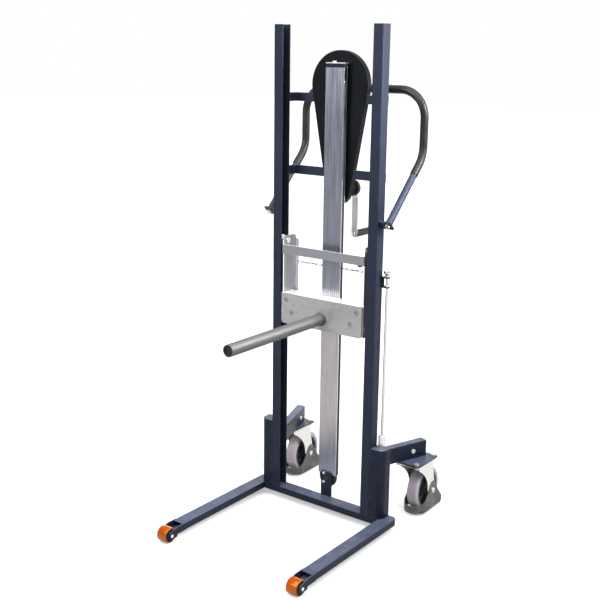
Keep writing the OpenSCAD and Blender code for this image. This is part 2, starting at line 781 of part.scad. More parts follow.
module ram_plug() {
    color("#1c1c1e") difference() {
        bar_along_y(ram_d / 2 - ram_wall, 0, ram_end_y + 1, ram_end_y + 16, ram_z);
        bar_along_y(ram_d / 2 - ram_wall - 3, 0, ram_end_y, ram_end_y + 4, ram_z);
    }
}

// Side plates of the carriage, with a rear return and a front flange behind the load plate
side_d = 78;
side_corner = 18;
return_w = 12;
upper_guide_z = side_top - 19;
lower_guide_z = load_z + 24;
guide_y = face_y + mast_d / 2;
guide_pin_d = 16;
module side_plate(side) {
    flange_x = screw_spots[1][0] - 18;
    color("#b4b7bc") on_side(side) difference() {
        union() {
            edgewise(side_x, side_out_x) translate([face_y, load_z]) {
                translate([side_d / 2, side_h / 2]) rounded(side_d, side_h, side_corner);
                square([side_d, side_h - side_corner]);
            }
            block([side_out_x - return_w - side_t, face_y + side_d - side_t, load_z],
                  [side_out_x, face_y + side_d, side_top - side_corner]);
            upright(face_y, face_y + side_t, 0) polygon([
                [side_out_x, load_z + 10], [flange_x, load_z + 24], [flange_x, load_z + 66],
                [screw_spots[0][0] - 16, load_top], [side_out_x, load_top]
            ]);
        }
        for (z = [upper_guide_z, lower_guide_z])
            bar_along_x(guide_pin_d / 2, side_x - cut, side_out_x + cut, guide_y, z);
        for (spot = screw_spots)
            bar_along_y(screw_d / 2 + bolt_gap, spot[0], face_y - cut, face_y + side_t + cut, spot[1]);
    }
}

// Top bar of the carriage, the buffer behind it and the wire between the side plates
bar_lift = 274;
top_bar_h = 35;
top_bar_t = 5;
module top_bar() {
    color("#9fa3aa") block([-side_out_x, face_y - top_bar_t, load_z + bar_lift],
                           [side_out_x, face_y, load_z + bar_lift + top_bar_h]);
}
module stop_buffer() {
    color("#17181a") bar_along_y(11, side_x - 18, face_y, face_y + 12, load_z + bar_lift + 3);
}
wire_d = 4;
wire_lift = 231;
wire_swing = 2.5;
wire_steps = 24;
wire_sides = 8;
wire_waves = 2.5;
function wire_ring(i) =
    let(x = -side_out_x + i * 2 * side_out_x / wire_steps,
        z = load_z + wire_lift + wire_swing * sin(i * wire_waves * 360 / wire_steps))
    [for (k = [0 : wire_sides - 1]) let(a = k * 360 / wire_sides + 180 / wire_sides)
        [x, face_y + side_d + wire_d / 2 + wire_d / 2 * cos(a), z + wire_d / 2 * sin(a)]];
module catch_wire() {
    points = [for (i = [0 : wire_steps]) each wire_ring(i)];
    last = wire_steps * wire_sides;
    faces = concat(
        [[for (k = [0 : wire_sides - 1]) k]],
        [for (i = [0 : wire_steps - 1], k = [0 : wire_sides - 1])
            let(a = i * wire_sides + k, b = i * wire_sides + (k + 1) % wire_sides)
            each [[a, a + wire_sides, b], [b, a + wire_sides, b + wire_sides]]],
        [[for (k = [wire_sides - 1 : -1 : 0]) last + k]]
    );
    color("#4a4c50") polyhedron(points, faces);
}

// Clamp that ties the carriage to the belt's right run
clamp_z = load_z + 86;
clamp_h = 30;
clamp_t = 6;
module belt_clamp() {
    clamp_x = column_w / 2 + 2.5;
    color("#8c8e90") {
        block([clamp_x, face_y, clamp_z], [clamp_x + clamp_t, belt_y + belt_w - 1, clamp_z + clamp_h]);
        block([belt_r + belt_t + free_gap, belt_y + 1, clamp_z],
              [clamp_x, belt_y + belt_w - 1, clamp_z + clamp_h]);
    }
}

// Guide rollers in the mast channels, on pins through the side plates
guide_x = mast_x + 9;
guide_w = 18;
guide_out_x = guide_x + guide_w;
module roller_pins() {
    for (side = [-1, 1], z = [upper_guide_z, lower_guide_z])
        color("#c3c6ca") on_side(side) {
            bar_along_x(guide_pin_d / 2 + 3, side_x - 4, side_x, guide_y, z);
            bar_along_x(guide_pin_d / 2, side_x, guide_out_x + 3, guide_y, z);
            bar_along_x(guide_pin_d / 2 + 3, side_out_x, guide_x - free_gap, guide_y, z);
            bar_along_x(guide_pin_d / 2 + 3, guide_out_x + free_gap, guide_out_x + 3, guide_y, z);
        }
}
module guide_rollers(z) {
    for (side = [-1, 1])
        color("#d8d8d4") on_side(side) difference() {
            bar_along_x(guide_d / 2, guide_x, guide_out_x, guide_y, z);
            bar_along_x(guide_pin_d / 2 + run_gap, guide_x - cut, guide_out_x + cut, guide_y, z);
        }
}

// Bolts of the frame, each a solid of its own
module pad_bolts() {
    for (side = [-1, 1], x = [-1, 1], y = [-1, 1]) {
        px = swivel_x + x * bolt_x;
        py = face_y + swivel_back + y * bolt_y;
        under_arm = x < 0 && y < 0;
        on_side(side) {
            bar_along_z(pad_bolt_d / 2, px, py, pad_z - plate_t - 7, under_arm ? arm_z : pad_top + 6);
            hex_along_z(17, px, py, pad_z - plate_t - 7, pad_z - plate_t);
            if (!under_arm) hex_along_z(17, px, py, pad_top, pad_top + 6);
        }
    }
}
module frame_bolts() {
    color("#c9ccd0") {
        pad_bolts();
        for (side = [-1, 1]) on_side(side) {
            at_arm_end() {
                bar_along_x(arm_bolt_d / 2, -arm_w / 2 - 4, arm_w / 2 + 4, -arm_bolt_back, arm_mid_z);
                for (x = [-arm_w / 2 - 5, arm_w / 2])
                    bar_along_x(9, x, x + 5, -arm_bolt_back, arm_mid_z);
            }
            at_lug() {
                translate([0, 0, -lug_t - 6]) cylinder(r = hex_r(17), h = 6, $fn = 6);
                translate([0, 0, -lug_t - 6]) cylinder(d = lug_bolt_d, h = lug_t + 6 + plug_l);
            }
        }
        for (z = [upper_bolt_z, lower_bolt_z]) {
            head_y = column_y - bracket_t - 4;
            bolt_end_y = column_y + (z > tail_z ? flange_t : 0);
            bar_along_y(5.5, bracket_bolt_x, head_y, column_y - bracket_t, z);
            bar_along_y(bracket_bolt_d / 2, bracket_bolt_x, head_y, bolt_end_y, z);
        }
        hex_along_z(13, cap_bolt_x, column_mid_y, strap_top, strap_top + 5);
        bar_along_z(cap_bolt_d / 2, cap_bolt_x, column_mid_y, column_top + 2, strap_top + 5);
    }
}

// Front rollers and their axles
roller_crown = 130;
roller_core_r = roller_d / 2 - 5;
axle_head_d = 13;
axle_head_t = 3;
module at_roller(side)
    on_side(side) translate([leg_mid_x, roller_y, roller_z]) rotate([0, 90, 0]) children();
module front_roller(side) {
    color("#e07a1c") at_roller(side) rotate_extrude() difference() {
        intersection() {
            translate([0, -roller_w / 2]) square([roller_d, roller_w]);
            translate([roller_d / 2 - roller_crown, 0]) circle(roller_crown, $fn = 180);
        }
        translate([-cut, -roller_w]) square([roller_core_r + cut, 2 * roller_w]);
    }
}
module roller_core(side) {
    color("#1c1c1e") at_roller(side) rotate_extrude() difference() {
        translate([0, -roller_w / 2]) square([roller_core_r, roller_w]);
        for (s = [-1, 1])
            polygon([
                [11, s * roller_w], [11, s * (roller_w / 2 - 3)],
                [roller_core_r - 5, s * (roller_w / 2 - 3)],
                [roller_core_r - 3, s * roller_w / 2], [roller_core_r - 3, s * roller_w]
            ]);
        translate([-cut, -roller_w]) square([roller_axle_d / 2 + run_gap + cut, 2 * roller_w]);
    }
}
module roller_axles() {
    for (side = [-1, 1])
        color("#c9ccd0") on_side(side) {
            bar_along_x(roller_axle_d / 2, leg_x, leg_x + leg_w, roller_y, roller_z);
            for (x = [leg_x - axle_head_t, leg_x + leg_w])
                bar_along_x(axle_head_d / 2, x, x + axle_head_t, roller_y, roller_z);
        }
}

// Casters: mounting plate with race and king pin, raked fork, wheel, axle and guard
axle_d = 12;
race_r = 40;
race_h = 8;
king_d = 16;
crown_t = 8;
crown_top = pad_z - plate_t - race_h - free_gap;
fork_gap = 17;
fork_in = wheel_w / 2 + fork_gap;
fork_t = 4;
fork_eye_r = 22;
crown_front = 46;
crown_rear = 2;
guard_t = 2;
swivel_y = face_y + swivel_back;
caster_y = swivel_y + caster_trail;
module swivel_plates() {
    for (side = [-1, 1])
        color("#c3c6ca") on_side(side) {
            difference() {
                translate([swivel_x, swivel_y, pad_z - plate_t]) linear_extrude(plate_t)
                    rounded(swivel_plate_w, swivel_plate_l, 6);
                pad_holes(pad_bolt_d + 2 * bolt_gap, pad_z - plate_t - cut, pad_z + cut);
            }
            bar_along_z(race_r, swivel_x, swivel_y, pad_z - plate_t - race_h, pad_z - plate_t);
            bar_along_z(king_d / 2, swivel_x, swivel_y, crown_top - crown_t - 10, pad_z - plate_t);
            hex_along_z(24, swivel_x, swivel_y, crown_top - crown_t - 10, crown_top - crown_t - free_gap);
        }
}
function bend(a, b, c, steps) =
    [for (i = [0 : steps]) let(t = i / steps) (1 - t) * (1 - t) * a + 2 * t * (1 - t) * b + t * t * c];
module fork_outline() {
    polygon(concat(
        [for (p = arc_points(fork_eye_r, axle_z, -180, 0, 24)) p + [caster_y, 0]],
        [[caster_y + fork_eye_r - 8, axle_z + 36], [caster_y + crown_rear, axle_z + 90],
         [caster_y + crown_rear, crown_top], [swivel_y - crown_front, crown_top]],
        bend([swivel_y - crown_front, crown_top - 13], [caster_y - 44, axle_z + 78],
             [caster_y - 36, axle_z + 24], 16),
        [[caster_y - 34, axle_z + 6]]
    ));
}
module axle_bore()
    bar_along_x(axle_d / 2 + bolt_gap, swivel_x - 2 * wheel_w, swivel_x + 2 * wheel_w, caster_y, axle_z);
module caster_fork(side) {
    color("#d3d6da") on_side(side) difference() {
        union() {
            bar_along_z(race_r + 3, swivel_x, swivel_y, crown_top - crown_t, crown_top);
            block([swivel_x - fork_in - fork_t, swivel_y - crown_front, crown_top - crown_t],
                  [swivel_x + fork_in + fork_t, caster_y + crown_rear, crown_top]);
            for (x = [swivel_x - fork_in - fork_t, swivel_x + fork_in])
                edgewise(x, x + fork_t) fork_outline();
        }
        bar_along_z(king_d / 2 + run_gap, swivel_x, swivel_y, crown_top - crown_t - cut, crown_top + cut);
        axle_bore();
    }
}
axle_nut_t = 4;
hub_r = wheel_d * 0.4;
hub_ribs = 8;
hub_boss_r = 24;
hub_rim = 8;
tread_corner = 8;
module at_wheel(side) on_side(side) translate([swivel_x, caster_y, axle_z]) rotate([0, 90, 0]) children();
module wheel_tread(side) {
    color("#8f9094") at_wheel(side) rotate_extrude() difference() {
        rounded(wheel_d, wheel_w, tread_corner);
        translate([-wheel_d, -wheel_w]) square([wheel_d + hub_r, 2 * wheel_w]);
    }
}
module wheel_hub(side) {
    color("#2a2b2e") at_wheel(side) {
        rotate_extrude() difference() {
            translate([0, -wheel_w / 2 + 1]) square([hub_r, wheel_w - 2]);
            for (s = [-1, 1])
                polygon([
                    [hub_boss_r, s * wheel_w], [hub_boss_r, s * 8], [hub_r - hub_rim - 4, s * 8],
                    [hub_r - hub_rim, s * wheel_w / 2], [hub_r - hub_rim, s * wheel_w]
                ]);
            translate([-cut, -wheel_w]) square([axle_d / 2 + run_gap + cut, 2 * wheel_w]);
        }
        for (i = [0 : hub_ribs - 1])
            rotate([0, 0, i * 360 / hub_ribs]) translate([hub_boss_r - 4, -2, 6 - wheel_w / 2])
                cube([hub_r - hub_rim - hub_boss_r + 5, 4, wheel_w - 12]);
    }
}
module caster_axle(side) {
    out = fork_in + fork_t + guard_t;
    color("#c9ccd0") at_wheel(side) {
        translate([0, 0, -out - axle_nut_t]) cylinder(d = axle_d, h = 2 * (out + axle_nut_t) + 1);
        translate([0, 0, out]) cylinder(r = hex_r(19), h = axle_nut_t, $fn = 6);
        translate([0, 0, -out - axle_nut_t]) cylinder(d = 19, h = axle_nut_t);
        for (z = [-fork_in, wheel_w / 2 - 1 + free_gap])
            translate([0, 0, z]) cylinder(d = axle_d + 8, h = fork_in - wheel_w / 2 + 1 - free_gap);
    }
}
guard_low = 9;
guard_h = 32;
guard_rear = 76;
guard_nose = 50;
lobe_r = 21;
lobe_lift = 16;
module guard_side_outline() {
    nose_y = caster_y - guard_nose;
    rear_y = caster_y + guard_rear;
    front_y = nose_y - 2 * fork_in;
    rim_z = guard_low + guard_h;
    polygon(concat(
        [[front_y, guard_low], [rear_y - 7, guard_low + 3], [rear_y, guard_low + 9],
         [rear_y, guard_low + guard_h], [rear_y - 30, axle_z - 12]],
        [for (p = arc_points(lobe_r, axle_z + lobe_lift, 15, 165, 24)) p + [caster_y + 3, 0]],
        bend([caster_y - 24, axle_z + 12], [nose_y + 8, rim_z + 22], [nose_y - 30, rim_z], 12),
        [[front_y, rim_z]]
    ));
}
// The guard seen from above: two sides and a round nose
module guard_plan(r, rear_y) {
    polygon(concat(
        [for (p = arc_points(r, caster_y - guard_nose, 180, 360, 36)) p + [swivel_x, 0]],
        [[swivel_x + r, rear_y], [swivel_x - r, rear_y]]
    ));
}
module caster_guard(side) {
    inner = fork_in + fork_t;
    rear_y = caster_y + guard_rear;
    color("#7d8084") on_side(side) difference() {
        intersection() {
            linear_extrude(axle_z + 2 * lobe_r) difference() {
                guard_plan(inner + guard_t, rear_y + cut);
                guard_plan(inner, rear_y + 2 * cut);
            }
            edgewise(swivel_x - 2 * inner, swivel_x + 2 * inner) guard_side_outline();
        }
        axle_bore();
    }
}

mast(-1);  // mast_left
mast(1);  // mast_right
cross_member();
leg(-1);  // leg_left
leg(1);  // leg_right
posts();
caster_arm(-1);  // caster_arm_left
caster_arm(1);  // caster_arm_right
arm_end_caps();
crossbars();
column();
column_cap();
cap_strap();
foot_bracket();
bottom_pulley();
pulley_pin();
cover_front();
cover_rear();
shaft_bearings();
top_pulley();
drive_wheel();
drive_chain();
crank_shaft();
brake_disc();
crank_arm();
crank_fasteners();
crank_grip();
lifting_belt();
handlebar();
handle_grip();
pull_rod();
rod_keeper();
load_plate();
plate_screws();
ram_tube();
ram_plug();
side_plate(-1);  // side_plate_left
side_plate(1);  // side_plate_right
top_bar();
stop_buffer();
catch_wire();
belt_clamp();
roller_pins();
guide_rollers(upper_guide_z);  // upper_guide_rollers
guide_rollers(lower_guide_z);  // lower_guide_rollers
frame_bolts();
front_roller(-1);  // front_roller_left
front_roller(1);  // front_roller_right
roller_core(-1);  // roller_core_left
roller_core(1);  // roller_core_right
roller_axles();
swivel_plates();
caster_fork(-1);  // caster_fork_left
caster_fork(1);  // caster_fork_right
wheel_tread(-1);  // wheel_tread_left
wheel_tread(1);  // wheel_tread_right
wheel_hub(-1);  // wheel_hub_left
wheel_hub(1);  // wheel_hub_right
caster_axle(-1);  // caster_axle_left
caster_axle(1);  // caster_axle_right
caster_guard(-1);  // caster_guard_left
caster_guard(1);  // caster_guard_right
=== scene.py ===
"""Dresses the jointed frame of a hand-cranked material lift.

The frame holds every piece at its real size. Each operator here gives one group of pieces its finish, some
with painted highlights, sheen, reflections and shade, and adds the fine forms that the frame leaves out: weld
seams, a twisted wire, a thin ledge, dark rings that paint the shadow round screw heads, and edge radii.
"""
import json
import math

import bmesh
import bpy
from bpy.props import FloatProperty, FloatVectorProperty, IntProperty, PointerProperty
from mathutils import Matrix, Vector


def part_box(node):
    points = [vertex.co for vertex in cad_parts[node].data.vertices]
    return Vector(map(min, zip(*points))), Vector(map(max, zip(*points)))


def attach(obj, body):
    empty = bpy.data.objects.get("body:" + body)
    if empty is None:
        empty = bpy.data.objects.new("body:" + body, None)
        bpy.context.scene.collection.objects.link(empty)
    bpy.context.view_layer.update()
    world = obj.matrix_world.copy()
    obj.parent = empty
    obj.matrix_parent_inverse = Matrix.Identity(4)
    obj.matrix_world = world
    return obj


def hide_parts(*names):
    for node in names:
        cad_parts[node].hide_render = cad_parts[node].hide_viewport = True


bl_info = {
    "name": "Material lift finishes",
    "version": (1, 0, 0),
    "blender": (4, 5, 0),
    "location": "3D View > Sidebar > Material lift",
    "description": "Finishes, weld seams and fine detail for a hand-cranked material lift",
    "category": "Object",
}

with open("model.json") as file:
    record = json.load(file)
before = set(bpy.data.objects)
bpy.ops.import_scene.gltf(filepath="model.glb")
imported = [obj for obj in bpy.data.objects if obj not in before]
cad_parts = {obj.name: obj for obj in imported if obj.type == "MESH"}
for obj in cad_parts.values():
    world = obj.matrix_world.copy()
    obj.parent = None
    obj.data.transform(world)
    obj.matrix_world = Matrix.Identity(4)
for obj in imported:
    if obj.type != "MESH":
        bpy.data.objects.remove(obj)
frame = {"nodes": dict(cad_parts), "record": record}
NODES = frame["nodes"]
NODE_SLOT = {part["node"]: part["material_slot"] for part in frame["record"]["subparts"]}
SLOT_COLOUR = {
    "frame_paint": (0.0115, 0.0140, 0.0235),
    "handle_paint": (0.018, 0.023, 0.037),
    "black_paint": (0.0035, 0.004, 0.005),
    "dark_steel": (0.035, 0.034, 0.036),
    "column_aluminium": (0.160, 0.170, 0.205),
    "carriage_aluminium": (0.185, 0.188, 0.202),
    "plate_steel": (0.228, 0.227, 0.225),
    "machined_steel": (0.36, 0.36, 0.365),
    "zinc": (0.69, 0.685, 0.66),
    "black_plastic": (0.010, 0.010, 0.012),
    "black_rubber": (0.0085, 0.0078, 0.0078),
    "belt": (0.010, 0.010, 0.011),
    "roller_plastic": (0.66, 0.66, 0.63),
    "orange_polyurethane": (0.21, 0.031, 0.0006),
    "grey_rubber": (0.240, 0.215, 0.242),
    "hub_plastic": (0.026, 0.026, 0.029),
    "guard_grey": (0.040, 0.040, 0.039),
}
SIDES = ("left", "right")
MM = 0.001
JOIN_GAP = 0.01 * MM
ROUND_ABOVE = math.radians(32.0)
SHARP_ABOVE = math.radians(40.0)
WELD_SIDES = 8
RIPPLE_STEPS = 4


# Settings


def colour_setting(label, slot):
    """A colour that starts from the table of finishes."""
    return FloatVectorProperty(
        name=label, description=f"Base colour of the {label.lower()}", subtype="COLOR",
        size=3, min=0.0, max=1.0, default=SLOT_COLOUR[slot],
    )


def grey_setting(label, description, default):
    """A colour of the stage that starts as a grey."""
    return FloatVectorProperty(
        name=label, description=description, subtype="COLOR",
        size=3, min=0.0, max=1.0, default=(default,) * 3,
    )


def length_setting(label, description, default):
    """A small length, kept in metres."""
    return FloatProperty(
        name=label, description=description, default=default, min=0.0, subtype="DISTANCE", unit="LENGTH",
    )


def share_setting(label, description, default):
    """A share from 0 to 1."""
    return FloatProperty(
        name=label, description=description, default=default, min=0.0, max=1.0, subtype="FACTOR",
    )


def strength_setting(label, description, default):
    """The strength of a light that has no place of its own."""
    return FloatProperty(name=label, description=description, default=default, min=0.0)


def power_setting(label, description, default):
    """The power of a lamp in watts."""
    return FloatProperty(name=label, description=description, default=default, min=0.0, unit="POWER")


def angle_setting(label, description, degrees):
    """An angle, typed in degrees."""
    return FloatProperty(name=label, description=description, subtype="ANGLE", default=math.radians(degrees))


class LiftColours(bpy.types.PropertyGroup):
    """Base colours of the lift's finishes."""

    frame_paint: colour_setting("Frame paint", "frame_paint")
    handle_paint: colour_setting("Handlebar paint", "handle_paint")
    black_paint: colour_setting("Drive cover paint", "black_paint")
    dark_steel: colour_setting("Blackened steel", "dark_steel")
    column_aluminium: colour_setting("Column profile", "column_aluminium")
    carriage_aluminium: colour_setting("Carriage plates", "carriage_aluminium")
    plate_steel: colour_setting("Load plate and ram", "plate_steel")
    machined_steel: colour_setting("Turned steel", "machined_steel")
    zinc: colour_setting("Zinc plate", "zinc")
    black_plastic: colour_setting("Black plastic", "black_plastic")
    black_rubber: colour_setting("Black rubber", "black_rubber")
    belt: colour_setting("Lifting belt", "belt")
    roller_plastic: colour_setting("Guide rollers", "roller_plastic")
    orange_polyurethane: colour_setting("Front rollers", "orange_polyurethane")
    grey_rubber: colour_setting("Wheel treads", "grey_rubber")
    hub_plastic: colour_setting("Wheel hubs", "hub_plastic")
    guard_grey: colour_setting("Foot guards", "guard_grey")


class LiftDetail(bpy.types.PropertyGroup):
    """Sizes of the fine forms and the amount of wear."""

    tube_edge: length_setting("Tube edge", "Edge radius of the painted tubes", 1.8 * MM)
    plate_edge: length_setting("Plate edge", "Edge radius of cut plates", 0.6 * MM)
    load_plate_edge: length_setting("Load plate edge", "Edge radius of the load plate", 1.4 * MM)
    column_edge: length_setting("Column edge", "Edge radius of the column profile", 0.4 * MM)
    turned_edge: length_setting("Turned edge", "Edge radius of turned parts", 0.5 * MM)
    moulded_edge: length_setting("Moulded edge", "Edge radius of moulded parts", 1.5 * MM)
    wheel_edge: length_setting("Wheel edge", "Edge radius of treads and hubs", 0.8 * MM)
    bolt_edge: length_setting("Bolt edge", "Edge radius of bolt heads", 1.6 * MM)
    weld_radius: length_setting("Weld radius", "Radius of a weld seam", 2.4 * MM)
    weld_pitch: length_setting("Weld ripple", "Distance between two ripples of a weld seam", 3.0 * MM)
    wire_sides: IntProperty(
        name="Wire sides", description="Sides of the round wire", default=16, min=6, max=48,
    )
    wear: share_setting("Wear", "How far paint has worn off its edges", 0.25)
    dust: share_setting("Dust", "How much dust lies on upward faces", 0.05)


class LiftStage(bpy.types.PropertyGroup):
    """Light, floor and camera."""

    sky_power: strength_setting("Top light", "Strength of the broad light overhead", 6.0)
    sky_angle: angle_setting("Top light width", "Width of the light overhead", 70.0)
    side_power: power_setting("Side light", "Power of the light high on the right", 75.0)
    rear_power: power_setting("Rear light", "Power of the light at the rear right", 22.0)
    backdrop_power: power_setting("Backdrop light", "Power of the wide light behind the lift", 90.0)
    front_power: power_setting("Front light", "Power of the light at the front left", 25.0)
    room_light: strength_setting("Room light", "Strength of the light from all round", 0.5)
    floor_colour: grey_setting("Floor", "Colour of the floor", 0.45)
    floor_glow: grey_setting("Floor glow", "Light that the camera alone sees on the floor", 0.35)
    camera_place: FloatVectorProperty(
        name="Camera place", description="Where the camera stands", subtype="TRANSLATION", size=3,
        unit="LENGTH", default=(2.1102, -2.8664, 1.7843),
    )
    camera_turn: angle_setting("Camera turn", "Direction of the camera round the lift", 36.77)
    camera_dip: angle_setting("Camera dip", "Angle of the view below level", 14.08)
    camera_roll: angle_setting("Camera roll", "Tilt of the picture", 0.72)
    focal_length: FloatProperty(
        name="Focal length", description="Focal length in millimetres", default=59.5, min=10.0, max=200.0,
    )


# Shader groups


class GroupBuilder:
    """A shader node group with named sockets, and short calls for its nodes."""

    def __init__(self, name, inputs, outputs):
        self.tree = bpy.data.node_groups.new(name, "ShaderNodeTree")
        for label, kind, value in inputs:
            socket = self.tree.interface.new_socket(label, in_out="INPUT", socket_type="NodeSocket" + kind)
            socket.default_value = value
        for label, kind in outputs:
            self.tree.interface.new_socket(label, in_out="OUTPUT", socket_type="NodeSocket" + kind)
        self.inputs = self.tree.nodes.new("NodeGroupInput").outputs
        self.outputs = self.tree.nodes.new("NodeGroupOutput").inputs

    def node(self, kind, links=(), **settings):
        """A node with settings and with links or values for its sockets, by name or number."""
        return add_node(self.tree, kind, dict(links), **settings)

    def send(self, source, label):
        """Links a socket to the group's output of that name."""
        self.tree.links.new(source, self.outputs[label])

    def send_blend(self, mask, colours, values):
        """Sends a colour and a roughness, each blended by the mask from two of the group's inputs."""
        self.send(blend_colours(self, mask, *[self.inputs[label] for label in colours]), "Colour")
        self.send(blend_values(self, mask, *[self.inputs[label] for label in values]), "Roughness")


def fill_sockets(tree, node, links):
    """Wires or fills a node's sockets, by name or number."""
    for key, value in links.items():
        if isinstance(value, bpy.types.NodeSocket):
            tree.links.new(value, node.inputs[key])
        else:
            node.inputs[key].default_value = value


def add_node(tree, kind, links, **settings):
    """Adds a node to a tree, sets it up and wires or fills its sockets."""
    made = tree.nodes.new(kind)
    for key, value in settings.items():
        setattr(made, key, value)
    fill_sockets(tree, made, links)
    return made


def place_noise(group, scale, detail=3.0, roughness=0.55):
    """Noise fixed to the piece's own coordinates."""
    place = group.node("ShaderNodeTexCoord").outputs["Object"]
    links = {"Vector": place, "Scale": scale, "Detail": detail, "Roughness": roughness}
    return group.node("ShaderNodeTexNoise", links).outputs["Fac"]


def smooth_mask(group, value, low, high):
    """0 at the low value and 1 at the high one, with a smooth change between them."""
    links = {"Value": value, "From Min": low, "From Max": high}
    return group.node("ShaderNodeMapRange", links, interpolation_type="SMOOTHSTEP").outputs["Result"]


def blend_colours(group, mask, first, second):
    """First colour where the mask is 0, second where it is 1."""
    return group.node("ShaderNodeMix", {0: mask, 6: first, 7: second}, data_type="RGBA").outputs[2]


def blend_values(group, mask, first, second):
    """First value where the mask is 0, second where it is 1."""
    return group.node("ShaderNodeMix", {0: mask, 2: first, 3: second}, data_type="FLOAT").outputs[0]


def times(group, first, second):
    """Product of two values."""
    return group.node("ShaderNodeMath", {0: first, 1: second}, operation="MULTIPLY").outputs[0]


def along(group, first, second):
    """How far two ways agree, as the cosine of the angle between them."""
    product = group.node("ShaderNodeVectorMath", {0: first, 1: second}, operation="DOT_PRODUCT")
    return product.outputs["Value"]


SURFACE_OUTPUTS = [("Colour", "Color"), ("Roughness", "Float")]


def build_mottle():
    """Slow changes of tone and gloss across a surface."""
    group = GroupBuilder(
        "Mottle",
        [("Colour", "Color", (0.5, 0.5, 0.5, 1)), ("Second Colour", "Color", (0.6, 0.6, 0.6, 1)),
         ("Scale", "Float", 6.0), ("Low Roughness", "Float", 0.35), ("High Roughness", "Float", 0.5)],
        SURFACE_OUTPUTS,
    )
    mask = smooth_mask(group, place_noise(group, group.inputs["Scale"]), 0.3, 0.7)
    group.send_blend(mask, ("Colour", "Second Colour"), ("Low Roughness", "High Roughness"))
    return group.tree


def build_grain():
    """Fine grain of a coat, a moulding or a cast skin, as a height."""
    group = GroupBuilder(
        "Grain", [("Scale", "Float", 600.0), ("Second Scale", "Float", 120.0)], [("Height", "Float")],
    )
    fine = place_noise(group, group.inputs["Scale"], detail=2.0)
    broad = place_noise(group, group.inputs["Second Scale"], detail=1.0)
    broad_share = 0.35
    group.send(blend_values(group, broad_share, fine, broad), "Height")
    return group.tree


def build_hammer():
    """Dimples of a hammered coat, as a height and a tone."""
    group = GroupBuilder("Hammered", [("Scale", "Float", 260.0)], [("Height", "Float"), ("Tone", "Float")])
    place = group.node("ShaderNodeTexCoord").outputs["Object"]
    links = {"Vector": place, "Scale": group.inputs["Scale"]}
    depth = group.node("ShaderNodeTexVoronoi", links, feature="SMOOTH_F1").outputs["Distance"]
    group.send(depth, "Height")
    group.send(smooth_mask(group, depth, 0.1, 0.6), "Tone")
    return group.tree


def build_brushing():
    """Long fine scratches along one axis, with a tone for colour and gloss."""
    group = GroupBuilder(
        "Brushing",
        [("Stretch", "Vector", (400.0, 400.0, 6.0)), ("Low Roughness", "Float", 0.25),
         ("High Roughness", "Float", 0.45), ("Colour", "Color", (0.6, 0.6, 0.6, 1)),
         ("Second Colour", "Color", (0.7, 0.7, 0.7, 1))],
        SURFACE_OUTPUTS + [("Height", "Float")],
    )
    place = group.node("ShaderNodeTexCoord").outputs["Object"]
    pull = {0: place, 1: group.inputs["Stretch"]}
    pulled = group.node("ShaderNodeVectorMath", pull, operation="MULTIPLY").outputs[0]
    links = {"Vector": pulled, "Scale": 1.0, "Detail": 4.0, "Roughness": 0.7}
    streaks = group.node("ShaderNodeTexNoise", links).outputs["Fac"]
    mask = smooth_mask(group, streaks, 0.25, 0.75)
    group.send_blend(mask, ("Colour", "Second Colour"), ("Low Roughness", "High Roughness"))
    group.send(streaks, "Height")
    return group.tree


def build_height_tone():
    """One colour low down and another high up, with a soft change between two heights."""
    group = GroupBuilder(
        "Height Tone",
        [("Low Height", "Float", 0.5), ("High Height", "Float", 1.0),
         ("Low Colour", "Color", (0.5, 0.5, 0.5, 1)), ("High Colour", "Color", (0.4, 0.4, 0.4, 1))],
        [("Colour", "Color")],
    )
    place = group.node("ShaderNodeTexCoord").outputs["Object"]
    height = group.node("ShaderNodeSeparateXYZ", {0: place}).outputs["Z"]
    mask = smooth_mask(group, height, group.inputs["Low Height"], group.inputs["High Height"])
    group.send(blend_colours(group, mask, group.inputs["Low Colour"], group.inputs["High Colour"]), "Colour")
    return group.tree


def build_facing_tone():
    """A painted highlight on faces that look along one axis, such as upward faces and cut faces."""
    group = GroupBuilder(
        "Facing Tone",
        [("Colour", "Color", (0.5, 0.5, 0.5, 1)), ("Roughness", "Float", 0.4),
         ("Facing Colour", "Color", (0.7, 0.7, 0.7, 1)), ("Facing Roughness", "Float", 0.3),
         ("Axis", "Vector", (0.0, 0.0, 1.0))],
        SURFACE_OUTPUTS,
    )
    normal = group.node("ShaderNodeTexCoord").outputs["Normal"]
    facing = along(group, normal, group.inputs["Axis"])
    either_way = group.node("ShaderNodeMath", {0: facing}, operation="ABSOLUTE").outputs[0]
    mask = smooth_mask(group, either_way, 0.6, 0.9)
    group.send_blend(mask, ("Colour", "Facing Colour"), ("Roughness", "Facing Roughness"))
    return group.tree


def build_edge_wear_and_highlight():
    """Worn paint on painted edges and a painted highlight on bare metal edges: a mask where the rounded
    normal leaves the true one.
    """
    group = GroupBuilder(
        "Edge Wear",
        [("Colour", "Color", (0.1, 0.1, 0.1, 1)), ("Roughness", "Float", 0.4),
         ("Bare Colour", "Color", (0.5, 0.5, 0.5, 1)), ("Bare Roughness", "Float", 0.3),
         ("Amount", "Float", 0.3), ("Width", "Float", 2.0 * MM)],
        SURFACE_OUTPUTS,
    )
    round_normal = group.node("ShaderNodeBevel", {"Radius": group.inputs["Width"]}, samples=4).outputs[0]
    true_normal = group.node("ShaderNodeNewGeometry").outputs["Normal"]
    edge = smooth_mask(group, along(group, round_normal, true_normal), 0.99, 0.8)
    broken = smooth_mask(group, place_noise(group, 55.0, detail=5.0), 0.45, 0.65)
    mask = times(group, times(group, edge, broken), group.inputs["Amount"])
    group.send_blend(mask, ("Colour", "Bare Colour"), ("Roughness", "Bare Roughness"))
    return group.tree


